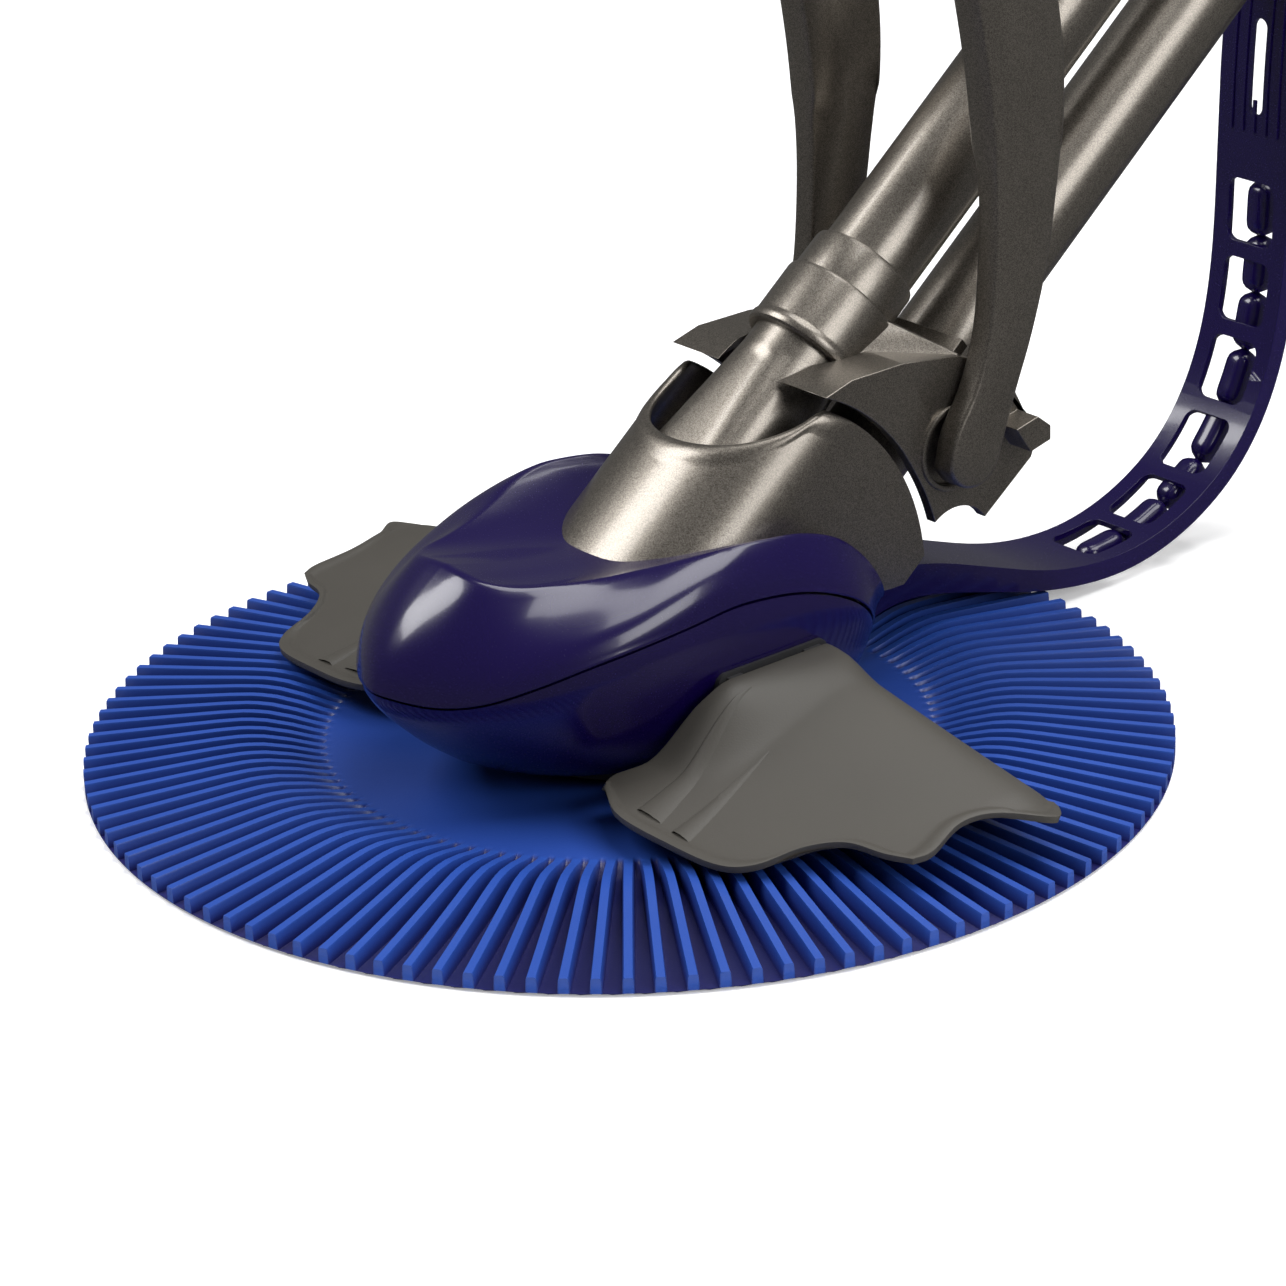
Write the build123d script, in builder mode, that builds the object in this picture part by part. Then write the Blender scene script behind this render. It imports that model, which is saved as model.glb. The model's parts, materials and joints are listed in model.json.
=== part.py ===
from build123d import *

import os
from math import atan2, cos, degrees, radians, sin

# A suction pool cleaner: a pleated seal that turns on a foot, a head with a flapper chamber,
# two parallel tubes that rise to a swivel, a carrying handle, two wings and a bumper strap.
# Millimetres. The origin is the centre of the suction mouth on the floor, +Z is up, and the
# nose points along -Y.

os.makedirs("parts", exist_ok=True)

# ---------------------------------------------------------------- driving dimensions
WALL = 3.0

# foot and seal
MOUTH_R = 32.0
FOOT_R = 44.0
FLANGE_R = 52.0
PAD_TOP = 3.0
FLANGE_LOW, FLANGE_TOP = 7.5, 16.5
FOOT_TOP = 24.0
SEAL_R = 215.0
SEAL_HOLE_R = 44.5
DISC_R = 120.0
DISC_LOW, DISC_TOP = 4.6, 7.0
CREST_R, CREST_LOW, CREST_TOP = 152.0, 1.5, 12.0
RIM_TOP = 7.5

# tubes: both lie in the YZ plane, tilted up and back
TILT = 39.0
TUBE_R = 20.0
TUBE_WALL = 2.2
TUBE_GAP = 59.0
TUBE_ORIGIN = (134.7, 172.6)
COLLAR_LOW, COLLAR_STEP, COLLAR_TOP = -52.0, -24.0, -7.0
COLLAR_BIG_R, COLLAR_SMALL_R = 24.6, 22.8
CHAMBER_END = -115.0
TUBE_TOP = 228.0
MANIFOLD_LOW, MANIFOLD_TOP = 208.0, 285.0
SPIGOT_R, SPIGOT_BORE, SPIGOT_TOP = 17.0, 13.5, 326.0
SLEEVE_BORE, SLEEVE_R, SLEEVE_TOP = 17.4, 23.0, 332.0
HOSE_R, HOSE_BORE, HOSE_TOP = 19.05, 15.5, 374.0

# head
HULL_LOW = 14.5
FLOOR_TOP = 19.5
DRUM = (28.0, 52.0)
DRUM_R = 94.5
HOOD_DRUM_R = 91.5
HOOD_HALF = 45.0
HOOD_FRONT = 30.0
HOOD_CENTRE = 4.0
CHAMBER_HALF = 36.0
POST_X, POST_Y, POST_R = 23.0, -52.0, 5.0
SCREW_R, SCREW_HEAD_R = 1.9, 3.9
FLAPPER_PIVOT = (20.0, 35.0)
FLAPPER_REACH = 52.0
FLAPPER_HALF = 31.0

# bracket, handle
EAR_IN, EAR_OUT = 41.0, 46.0
HUB = (134.0, 101.5)
HUB_R, RECESS_R = 14.0, 17.5
ARM_IN, ARM_OUT = 47.5, 60.0
PIN_R = 5.0
GRIP = (138.0, 330.0)
GRIP_R = 12.0

# wings
HINGE_X, HINGE_Z = 77.0, 49.0
KNUCKLE_R = 4.2
HINGE_PIN_R = 1.6
HINGE_FRONT, HINGE_BACK = -9.0, 38.0

# bumper strap
STRAP_HALF = 21.0
RAIL = 3.5
STRAP_DEPTH = 8.5
WEB = 2.5
LINK_R = 5.2
LINK_PITCH = 24.5
LINK_COUNT = 9


# ---------------------------------------------------------------- shared geometry
def tube_point(along, across=0.0, x=0.0):
    """A point given by its distance along the tubes and across them, up from the front tube."""
    c, s = cos(radians(TILT)), sin(radians(TILT))
    return (x, TUBE_ORIGIN[0] + c * along - s * across, TUBE_ORIGIN[1] + s * along + c * across)


def tube_plane(along, across=0.0):
    """A plane square to the tubes. Its own y axis points down and back."""
    c, s = cos(radians(TILT)), sin(radians(TILT))
    return Plane(origin=tube_point(along, across), x_dir=(1, 0, 0), z_dir=(0, c, s))


def hull_points(nose, half, tail, steps=6):
    """One side of a horizontal outline of the head, from the nose to the tail."""
    front = [(half * (1 - f**2.6) ** 0.66, -nose * f) for f in [1 - (i / steps) ** 2 for i in range(steps)]]
    back = [(half * (1 - f**5) ** 0.4, tail * f) for f in [i / 8 for i in range(7)] + [0.85, 0.95, 1.0]]
    return front + back


HULL_SECTIONS = [
    (HULL_LOW, 78.0, 54.0, 90.0),
    (35.0, 104.0, 64.0, 97.0),
    (58.0, 122.0, 70.5, 99.0),
    (80.0, 112.0, 70.0, 95.0),
    (103.0, 84.0, 58.0, 80.0),
]


def hull(shrink, low):
    """The right half of the head's outer form, or of its inside when it is shrunk by a wall."""
    with BuildPart() as form:
        for z, nose, half, tail in HULL_SECTIONS:
            height = max(z, low) - (shrink if z > 100 else 0)
            with BuildSketch(Plane.XY.offset(height)):
                with BuildLine():
                    side = hull_points(nose - 1.6 * shrink, half - shrink, tail - shrink)
                    flank = Spline(*side[::-1], tangents=[(1.0, 0.0), (-1.0, 0.35)])
                    Line(flank @ 1, flank @ 0)
                make_face()
        loft()
        with BuildSketch(Plane.YZ):
            with BuildLine():
                drop = shrink
                top = [(-31, 102), (0, 101.5), (20, 99.5), (40, 95.5), (59, 88), (78, 75), (92, 57),
                       (101, 34)]
                Polyline((101 - drop, 34 - drop), (101 - drop, 0), (-140, 0), (-140, 106), (-60, 106),
                         (-31, 102 - drop))
                Spline(*[(y - drop * max(0, y) / 101, z - drop) for y, z in top])
            make_face()
        extrude(amount=100, mode=Mode.INTERSECT)
    return form.part


def below_parting():
    """Everything under the line where the head's two covers meet."""
    line = [(-140, 58), (-122, 58), (-112, 56), (-101, 58.5), (-85, 65), (-66, 71), (-43, 75.5),
            (-20, 78.5),
            (0, 80), (25, 77.5), (44, 72), (63, 62), (80, 46), (92, 28), (98, 14), (104, 0)]
    with BuildPart() as block:
        with BuildSketch(Plane.YZ):
            with BuildLine():
                Spline(*line)
                Polyline((104, 0), (-140, 0), (-140, 58))
            make_face()
        extrude(amount=100, both=True)
    return block.part


def hood_section(inset, back):
    """The hood's section square to the tubes, inset from its outer face."""
    with BuildSketch() as section:
        with Locations((0, HOOD_CENTRE)):
            Ellipse(HOOD_HALF - inset, HOOD_FRONT + HOOD_CENTRE - inset)
        with Locations((0, HOOD_CENTRE)):
            Rectangle(2 * (HOOD_HALF - inset), back - HOOD_CENTRE, align=(Align.CENTER, Align.MIN))
    return section.sketch


def hood_prism(inset):
    """The long prism inside which the throat's parts lie."""
    with BuildPart() as prism:
        with BuildSketch(tube_plane(-260)):
            add(hood_section(inset, 120))
        extrude(amount=240)
    return prism.part


def ring(low, high, inner, outer):
    """A plain ring about the Z axis."""
    with BuildPart() as made:
        with BuildSketch(Plane.XY.offset(low)):
            Circle(outer)
            Circle(inner, mode=Mode.SUBTRACT)
        extrude(amount=high - low)
    return made.part


def save(part, name):
    part.label = name
    export_step(part, f"parts/{name}.step")


# ---------------------------------------------------------------- foot and seal
with BuildPart() as foot_flange:
    add(ring(PAD_TOP, FOOT_TOP, MOUTH_R, FOOT_R))
    add(ring(FLANGE_LOW, FLANGE_TOP, FOOT_R - 1, FLANGE_R))
save(foot_flange.part, "foot_flange")

with BuildPart() as foot_pad:
    add(ring(0, PAD_TOP, MOUTH_R, FOOT_R))
    fillet(foot_pad.edges().filter_by(GeomType.CIRCLE).group_by(Axis.Z)[0].sort_by(SortBy.RADIUS)[-1], 1.2)
save(foot_pad.part, "foot_pad")

with BuildPart() as seal_retaining_ring:
    add(ring(PAD_TOP - 1.8, DISC_LOW - 0.4, FOOT_R, FOOT_R + 11))
save(seal_retaining_ring.part, "seal_retaining_ring")

with BuildPart() as pleated_seal:
    with BuildSketch(Plane.XZ):
        with BuildLine():
            Polyline((SEAL_HOLE_R, DISC_LOW), (SEAL_HOLE_R, DISC_TOP), (DISC_R, DISC_TOP),
                     (CREST_R, CREST_TOP),
                     (SEAL_R, RIM_TOP), (SEAL_R, 0), (CREST_R, CREST_LOW), (DISC_R, DISC_LOW),
                     (SEAL_HOLE_R, DISC_LOW))
        make_face()
    revolve(axis=Axis.Z)
save(pleated_seal.part, "pleated_seal")

# ---------------------------------------------------------------- hood
with BuildPart() as throat_hood:
    with BuildSketch(tube_plane(-215)):
        add(hood_section(0, 78))
    extrude(amount=200)
    with BuildSketch(Plane.YZ):
        with Locations(DRUM):
            Circle(HOOD_DRUM_R)
    extrude(amount=60, both=True, mode=Mode.INTERSECT)
    with BuildSketch(tube_plane(-216)):
        add(hood_section(WALL + 0.5, 90))
    extrude(amount=220, mode=Mode.SUBTRACT)
    with BuildSketch(Plane.YZ):
        with BuildLine():
            Polyline((-80, 0), (-80, 84), (-44, 84), (60, 66), (96, 45), (150, 45), (150, 0), (-80, 0))
        make_face()
        with BuildLine():
            Polyline((-60, 122), (27, 122.5), (49, 126), (60, 129.5), (69, 136), (69, 160), (-60, 160),
                     (-60, 122))
        make_face()
    extrude(amount=60, both=True, mode=Mode.SUBTRACT)
hood_shell = throat_hood.solids().sort_by(SortBy.VOLUME)[-1]
save(hood_shell, "throat_hood")

# ---------------------------------------------------------------- head covers
outer_form = hull(0, 0)
inner_form = hull(WALL, FLOOR_TOP)
under = below_parting()

with BuildPart() as hood_space:
    with BuildSketch(tube_plane(-230)):
        add(hood_section(-0.4, 86))
    extrude(amount=200)

with BuildPart() as lower_cover:
    add(outer_form)
    add(inner_form, mode=Mode.SUBTRACT)
    add(under, mode=Mode.INTERSECT)
    with BuildSketch(Plane.XY):
        Circle(FOOT_R + 0.2)
    extrude(amount=FOOT_TOP, mode=Mode.SUBTRACT)
    with BuildSketch(Plane.XY):
        Circle(FLANGE_R + 0.3)
    extrude(amount=FLANGE_TOP, mode=Mode.SUBTRACT)

with BuildPart() as upper_cover:
    add(outer_form)
    add(inner_form, mode=Mode.SUBTRACT)
    add(under, mode=Mode.SUBTRACT)
    add(hood_space.part, mode=Mode.SUBTRACT)

# Two posts in the nose take the screws that hold the covers together.
with BuildPart() as post:
    with BuildSketch(Plane.XY.offset(FLOOR_TOP)):
        with Locations((POST_X, POST_Y)):
            Circle(POST_R)
    extrude(amount=100)
    add(outer_form, mode=Mode.INTERSECT)
with upper_cover:
    add(post.part)
    with BuildSketch(Plane.XY.offset(FLOOR_TOP)):
        with Locations((POST_X, POST_Y)):
            Circle(SCREW_R)
    extrude(amount=30, mode=Mode.SUBTRACT)
    mirror(about=Plane.YZ)
with lower_cover:
    with BuildSketch(Plane.XY):
        with Locations((POST_X, POST_Y)):
            Circle(SCREW_R)
    extrude(amount=FOOT_TOP, mode=Mode.SUBTRACT)
    with BuildSketch(Plane.XY):
        with Locations((POST_X, POST_Y)):
            Circle(SCREW_HEAD_R + 0.3)
    extrude(amount=HULL_LOW + 2.5, mode=Mode.SUBTRACT)
    mirror(about=Plane.YZ)
    add(hood_shell, mode=Mode.SUBTRACT)
save(lower_cover.part, "lower_cover")
save(upper_cover.solids().sort_by(SortBy.VOLUME)[-1], "upper_cover")

with BuildPart() as cover_screws:
    with BuildSketch(Plane.XY.offset(HULL_LOW + 0.3)):
        with Locations((POST_X, POST_Y), (-POST_X, POST_Y)):
            Circle(SCREW_HEAD_R)
            RegularPolygon(1.6, 6, mode=Mode.SUBTRACT)
    extrude(amount=2.2)
    with BuildSketch(Plane.XY.offset(HULL_LOW + 2.5)):
        with Locations((POST_X, POST_Y), (-POST_X, POST_Y)):
            Circle(SCREW_R)
    extrude(amount=28)
save(cover_screws.part, "cover_screws")

with BuildPart() as nose_weight:
    with BuildSketch(Plane.XY.offset(FLOOR_TOP + 4)):
        with Locations((0, -60)):
            Trapezoid(30, 28, 106, rotation=180)
    extrude(amount=30)
    chamfer(nose_weight.edges().group_by(Axis.Z)[-1], 2)
save(nose_weight.part, "nose_weight")

with BuildPart() as nose_weight_cradle:
    with BuildSketch(Plane.XY.offset(FLOOR_TOP)):
        with Locations((0, -59)):
            RectangleRounded(24, 22, 4)
    extrude(amount=4)
save(nose_weight_cradle.part, "nose_weight_cradle")

# ---------------------------------------------------------------- flapper chamber
FRONT_HIGH = tube_point(CHAMBER_END, 24)[1:]
REAR_HIGH = tube_point(CHAMBER_END, -TUBE_GAP - 22)[1:]
CHAMBER_OUTLINE = [(-MOUTH_R - WALL, FOOT_TOP), (-MOUTH_R - WALL, 40), FRONT_HIGH, REAR_HIGH,
                   (MOUTH_R + WALL, FOOT_TOP), (-MOUTH_R - WALL, FOOT_TOP)]

# The chamber's front corners are rounded off to fit inside the hood.
corner_room = hood_prism(WALL + 1.5)
with BuildPart() as corner_lining:
    with BuildSketch(Plane.YZ):
        with BuildLine():
            Polyline(*CHAMBER_OUTLINE)
        make_face()
    extrude(amount=CHAMBER_HALF - WALL, both=True)
    add(corner_room, mode=Mode.INTERSECT)
    add(hood_prism(2 * WALL + 1.5), mode=Mode.SUBTRACT)
corner_walls = corner_lining.part

with BuildPart() as chamber_shell:
    with BuildSketch(Plane.YZ):
        with BuildLine():
            Polyline(*CHAMBER_OUTLINE)
        make_face()
        offset(amount=-WALL, kind=Kind.INTERSECTION, mode=Mode.SUBTRACT)
    extrude(amount=CHAMBER_HALF - WALL, both=True)
    add(corner_room, mode=Mode.INTERSECT)
    add(corner_walls)
    with BuildSketch(Plane.XY.offset(FOOT_TOP)):
        Circle(MOUTH_R)
    extrude(amount=WALL + 0.5, mode=Mode.SUBTRACT)
    for across in (0, -TUBE_GAP):
        with BuildSketch(tube_plane(CHAMBER_END - 6, across)):
            Circle(TUBE_R - TUBE_WALL)
        extrude(amount=12, mode=Mode.SUBTRACT)
save(chamber_shell.part, "chamber_shell")

PLATE_HOLES = [(-28, 34), (38, 92), (82, 43), (44, 28.5)]
for side, name in ((1, "chamber_side_left"), (-1, "chamber_side_right")):
    start = Plane.YZ.offset(side * (CHAMBER_HALF - WALL))
    with BuildPart() as chamber_side:
        with BuildSketch(start):
            with BuildLine():
                Polyline(*CHAMBER_OUTLINE)
            make_face()
            with Locations(FLAPPER_PIVOT):
                Circle(3.0, mode=Mode.SUBTRACT)
        extrude(amount=side * WALL)
        add(corner_room, mode=Mode.INTERSECT)
    save(chamber_side.part, name)

with BuildPart() as chamber_screws:
    for side in (1, -1):
        with BuildSketch(Plane.YZ.offset(side * CHAMBER_HALF)):
            with Locations(*PLATE_HOLES):
                Circle(3.2)
        extrude(amount=side * 2.2)
save(chamber_screws.part, "chamber_screws")

with BuildPart() as flapper_pin:
    with BuildSketch(Plane.YZ):
        with Locations(FLAPPER_PIVOT):
            Circle(3.0)
    extrude(amount=CHAMBER_HALF, both=True)
save(flapper_pin.part, "flapper_pin")

FLAPPER_ANGLE = degrees(atan2(77.4 - FLAPPER_PIVOT[1], 63.9 - FLAPPER_PIVOT[0]))
flapper_tip = (FLAPPER_PIVOT[0] + FLAPPER_REACH * cos(radians(FLAPPER_ANGLE)),
               FLAPPER_PIVOT[1] + FLAPPER_REACH * sin(radians(FLAPPER_ANGLE)))
with BuildPart() as flapper:
    with BuildSketch(Plane.YZ):
        with Locations(FLAPPER_PIVOT):
            Circle(5.5)
        with Locations(flapper_tip):
            Circle(2.5)
        make_hull()
        with Locations(FLAPPER_PIVOT):
            Circle(3.06, mode=Mode.SUBTRACT)
    extrude(amount=FLAPPER_HALF, both=True)
save(flapper.part, "flapper")

# ---------------------------------------------------------------- neck, collar and tubes
NECK_LOW = CHAMBER_END + 0.05
with BuildPart() as throat_neck:
    with BuildSketch(tube_plane(NECK_LOW)):
        RectangleRounded(52, 44, 14)
    with BuildSketch(tube_plane(COLLAR_LOW - 16)):
        RectangleRounded(43, 42, 18)
    loft()
    with BuildSketch(tube_plane(COLLAR_LOW - 16)):
        Circle(20.9)
    extrude(amount=30)
    with BuildSketch(tube_plane(NECK_LOW)):
        Circle(TUBE_R - TUBE_WALL)
    extrude(amount=120, mode=Mode.SUBTRACT)
save(throat_neck.part, "throat_neck")

with BuildPart() as tube_collar:
    with BuildSketch(tube_plane(COLLAR_LOW)):
        Circle(COLLAR_BIG_R)
    extrude(amount=COLLAR_STEP - COLLAR_LOW)
    with BuildSketch(tube_plane(COLLAR_STEP)):
        Circle(COLLAR_SMALL_R)
    extrude(amount=COLLAR_TOP - COLLAR_STEP)
    collar_axis = Axis(tube_point(0), tube_plane(0).z_dir)
    fillet(tube_collar.edges().filter_by(GeomType.CIRCLE).group_by(collar_axis)[-1], 1)
    with BuildSketch(tube_plane(COLLAR_LOW)):
        Circle(20.9)
    extrude(amount=14, mode=Mode.SUBTRACT)
    with BuildSketch(tube_plane(COLLAR_LOW)):
        Circle(TUBE_R)
    extrude(amount=60, mode=Mode.SUBTRACT)
    with BuildSketch(tube_plane(COLLAR_LOW + 15.5)):
        Circle(TUBE_R + 1.2)
    extrude(amount=2.4, mode=Mode.SUBTRACT)
save(tube_collar.part, "tube_collar")

for name, across, low in (("front_tube", 0, COLLAR_LOW + 14), ("rear_tube", -TUBE_GAP, CHAMBER_END + 0.05)):
    with BuildPart() as tube:
        with BuildSketch(tube_plane(low, across)):
            Circle(TUBE_R)
            Circle(TUBE_R - TUBE_WALL, mode=Mode.SUBTRACT)
        extrude(amount=TUBE_TOP - low)
    save(tube.part, name)

with BuildPart() as tube_rib:
    with BuildSketch(tube_plane(COLLAR_TOP + 4, -TUBE_R - 3.2)):
        Rectangle(4, 6.2)
    extrude(amount=MANIFOLD_LOW - COLLAR_TOP - 4)
    with BuildSketch(tube_plane(COLLAR_TOP)):
        Circle(TUBE_R)
    extrude(amount=260, mode=Mode.SUBTRACT)
save(tube_rib.part, "tube_rib")

with BuildPart() as tube_o_rings:
    for along, across in ((COLLAR_LOW + 15.5, 0), (MANIFOLD_LOW + 4, 0), (MANIFOLD_LOW + 4, -TUBE_GAP)):
        with BuildSketch(tube_plane(along, across)):
            Circle(TUBE_R + 1.2)
            Circle(TUBE_R, mode=Mode.SUBTRACT)
        extrude(amount=2.4)
save(tube_o_rings.part, "tube_o_rings")

# ---------------------------------------------------------------- bracket
EAR_OUTLINE = [(180, 94), (180, 100), (174, 105), (167, 118), (152, 133), (136, 139.5), (107, 143.5),
               (80, 143.5),
               (60, 138)]
with BuildPart() as tube_bracket:
    with BuildSketch(Plane.YZ):
        with BuildLine():
            Polyline(*EAR_OUTLINE)
            RadiusArc((60, 138), (123.5, 72), DRUM_R + 3)
            ThreePointArc((123.5, 72), (137, 75.5), (151, 67))
            Polyline((151, 67), (177, 86), (180, 94))
        make_face()
    extrude(amount=EAR_OUT, both=True)
    with BuildSketch(Plane.YZ):
        with Locations(DRUM):
            Circle(DRUM_R + 1.2)
    extrude(amount=EAR_OUT, both=True, mode=Mode.SUBTRACT)
    # the space between the ears, under the shelf
    with BuildSketch(Plane.YZ):
        with BuildLine():
            Polyline((40, 0), (40, 139.5), (107, 139.5), (134, 136), (134, 170), (190, 170), (190, 0),
                     (40, 0))
        make_face()
    extrude(amount=EAR_IN, both=True, mode=Mode.SUBTRACT)
    with BuildSketch(tube_plane(-130)):
        Circle(COLLAR_BIG_R + 0.2)
    extrude(amount=200, mode=Mode.SUBTRACT)
    for side in (1, -1):
        with BuildSketch(Plane.YZ.offset(side * (EAR_OUT + 0.01))):
            with Locations(HUB):
                Circle(RECESS_R)
        extrude(amount=side * -2.5, mode=Mode.SUBTRACT)
        with BuildSketch(Plane.YZ.offset(side * (EAR_OUT - 1))):
            with BuildLine():
                Polyline((157, 106), (169, 108.5), (176, 103), (176, 97), (165, 94.5), (157, 106))
            make_face()
        extrude(amount=side * 13)
        with BuildSketch(Plane.YZ.offset(side * EAR_IN)):
            with Locations(HUB):
                Circle(PIN_R)
        extrude(amount=side * 10, mode=Mode.SUBTRACT)
    # the web that ties the ears together passes between the two tubes
    with BuildSketch(tube_plane(-46, -TUBE_GAP / 2)):
        Rectangle(2 * EAR_IN + 2, 5)
    extrude(amount=34)
save(tube_bracket.part, "tube_bracket")

# ---------------------------------------------------------------- handle
ARM_FRONT = [(120.6, 98), (124, 112), (134, 128), (141, 148), (144, 172), (145, 200), (143.5, 225),
             (141, 248),
             (137, 272), (131, 300), (124, 326)]
ARM_REAR = [(150, 342), (163, 322), (172, 300), (178.5, 272), (181, 248), (180.5, 225), (178, 202),
            (173, 172),
            (165, 145), (156, 122), (147.2, 97)]
for side, name in ((1, "left_arm"), (-1, "right_arm")):
    with BuildPart() as arm:
        with BuildSketch(Plane.YZ.offset(side * ARM_IN)):
            with BuildLine():
                Spline(*ARM_FRONT)
                ThreePointArc(ARM_FRONT[-1], (131, 344), ARM_REAR[0])
                Spline(*ARM_REAR)
                ThreePointArc(ARM_REAR[-1], (HUB[0], HUB[1] - HUB_R), ARM_FRONT[0])
            make_face()
        extrude(amount=side * (ARM_OUT - ARM_IN))
        with BuildSketch(Plane.YZ.offset(side * (EAR_OUT - 1.5))):
            with Locations(HUB):
                Circle(HUB_R)
        extrude(amount=side * 3)
        with BuildSketch(Plane.YZ.offset(side * (EAR_OUT - 1.6))):
            with Locations(HUB):
                Circle(PIN_R + 0.06)
        extrude(amount=side * 10, mode=Mode.SUBTRACT)
    save(arm.part, name)

with BuildPart() as handle_grip:
    with BuildSketch(Plane.YZ):
        with Locations(GRIP):
            Ellipse(GRIP_R + 4, GRIP_R - 1, rotation=65)
    extrude(amount=ARM_IN, both=True)
save(handle_grip.part, "handle_grip")

with BuildPart() as grip_screws:
    for side in (1, -1):
        with BuildSketch(Plane.YZ.offset(side * ARM_OUT)):
            with Locations(GRIP):
                Circle(4.0)
        extrude(amount=side * 1.6)
save(grip_screws.part, "grip_screws")

for side, name in ((1, "left_pivot_pin"), (-1, "right_pivot_pin")):
    with BuildPart() as pivot_pin:
        with BuildSketch(Plane.YZ.offset(side * EAR_IN)):
            with Locations(HUB):
                Circle(PIN_R)
        extrude(amount=side * 12)
        with BuildSketch(Plane.YZ.offset(side * (EAR_IN - 2))):
            with Locations(HUB):
                Circle(PIN_R + 3)
        extrude(amount=side * 2)
    save(pivot_pin.part, name)

# ---------------------------------------------------------------- manifold and hose swivel
MIDWAY = -TUBE_GAP / 2
with BuildPart() as top_manifold:
    with BuildSketch(tube_plane(MANIFOLD_LOW, MIDWAY)):
        SlotCenterToCenter(TUBE_GAP, 2 * (TUBE_R + 3.5), rotation=90)
    extrude(amount=TUBE_TOP - MANIFOLD_LOW)
    with BuildSketch(tube_plane(TUBE_TOP, MIDWAY)):
        SlotCenterToCenter(TUBE_GAP, 2 * (TUBE_R + 3.5), rotation=90)
    with BuildSketch(tube_plane(MANIFOLD_TOP, MIDWAY)):
        SlotCenterToCenter(6, 50, rotation=90)
    loft()
    with BuildSketch(tube_plane(MANIFOLD_TOP - 1, MIDWAY)):
        Circle(SPIGOT_R)
    extrude(amount=SPIGOT_TOP - MANIFOLD_TOP + 1)
    for across in (0, -TUBE_GAP):
        with BuildSketch(tube_plane(MANIFOLD_LOW, across)):
            Circle(TUBE_R)
        extrude(amount=TUBE_TOP - MANIFOLD_LOW, mode=Mode.SUBTRACT)
        with BuildSketch(tube_plane(MANIFOLD_LOW + 4, across)):
            Circle(TUBE_R + 1.2)
        extrude(amount=2.4, mode=Mode.SUBTRACT)
    with BuildSketch(tube_plane(TUBE_TOP, MIDWAY)):
        SlotCenterToCenter(TUBE_GAP, 2 * (TUBE_R - TUBE_WALL), rotation=90)
    with BuildSketch(tube_plane(MANIFOLD_TOP - 3, MIDWAY)):
        SlotCenterToCenter(4, 2 * SPIGOT_BORE + 6, rotation=90)
    loft(mode=Mode.SUBTRACT)
    with BuildSketch(tube_plane(MANIFOLD_TOP - 5, MIDWAY)):
        Circle(SPIGOT_BORE)
    extrude(amount=60, mode=Mode.SUBTRACT)
    for along, depth, width in ((293, 1.6, 3.0), (SPIGOT_TOP - 9, 1.4, 3.0)):
        with BuildSketch(tube_plane(along, MIDWAY)):
            Circle(SPIGOT_R + 1)
            Circle(SPIGOT_R - depth, mode=Mode.SUBTRACT)
        extrude(amount=width, mode=Mode.SUBTRACT)
save(top_manifold.part, "top_manifold")

with BuildPart() as swivel_o_ring:
    with BuildSketch(tube_plane(293.3, MIDWAY)):
        Circle(SPIGOT_R + 0.05)
        Circle(SPIGOT_R - 1.6, mode=Mode.SUBTRACT)
    extrude(amount=2.4)
save(swivel_o_ring.part, "swivel_o_ring")

with BuildPart() as swivel_lock_ring:
    with BuildSketch(tube_plane(SPIGOT_TOP - 8.8, MIDWAY)):
        Circle(SPIGOT_R + 2.2)
        Circle(SPIGOT_R - 1.4, mode=Mode.SUBTRACT)
    extrude(amount=2.6)
save(swivel_lock_ring.part, "swivel_lock_ring")

with BuildPart() as hose_swivel:
    with BuildSketch(tube_plane(MANIFOLD_TOP + 1.2, MIDWAY)):
        Circle(SLEEVE_R)
    extrude(amount=SLEEVE_TOP - MANIFOLD_TOP - 1.2)
    with BuildSketch(tube_plane(SLEEVE_TOP, MIDWAY)):
        Circle(HOSE_R)
    extrude(amount=HOSE_TOP - SLEEVE_TOP)
    with BuildSketch(tube_plane(MANIFOLD_TOP, MIDWAY)):
        Circle(SLEEVE_BORE)
    extrude(amount=SPIGOT_TOP + 1 - MANIFOLD_TOP, mode=Mode.SUBTRACT)
    with BuildSketch(tube_plane(SPIGOT_TOP - 9.4, MIDWAY)):
        Circle(SPIGOT_R + 2.8)
    extrude(amount=3.8, mode=Mode.SUBTRACT)
    with BuildSketch(tube_plane(SPIGOT_TOP, MIDWAY)):
        Circle(HOSE_BORE)
    extrude(amount=60, mode=Mode.SUBTRACT)
save(hose_swivel.part, "hose_swivel")

# ---------------------------------------------------------------- wings
WING_OUTLINE = [(81.6, 49), (193, 47), (203, 36), (191, 20), (186, 4), (190, -14), (188, -22),
                (178, -27), (163, -32),
                (153, -44), (147, -62), (136, -71), (112, -74), (84, -74), (65, -65), (60, -57), (66, -45),
                (72, -24), (81.6, -11), (81.6, 49)]
WING_CREST = [(-82, 17.5), (-66, 20), (-45, 26), (-20, 35), (5, 45), (22, 50), (34, 50.5), (43, 45),
              (48, 37),
              (50, 29)]
WING_TILT = 3.0
wing_normal = (cos(radians(WING_TILT)), 0, -sin(radians(WING_TILT)))
wing_plane = Plane(origin=(50, 0, 1.5), x_dir=(0, 1, 0), z_dir=wing_normal)

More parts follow.
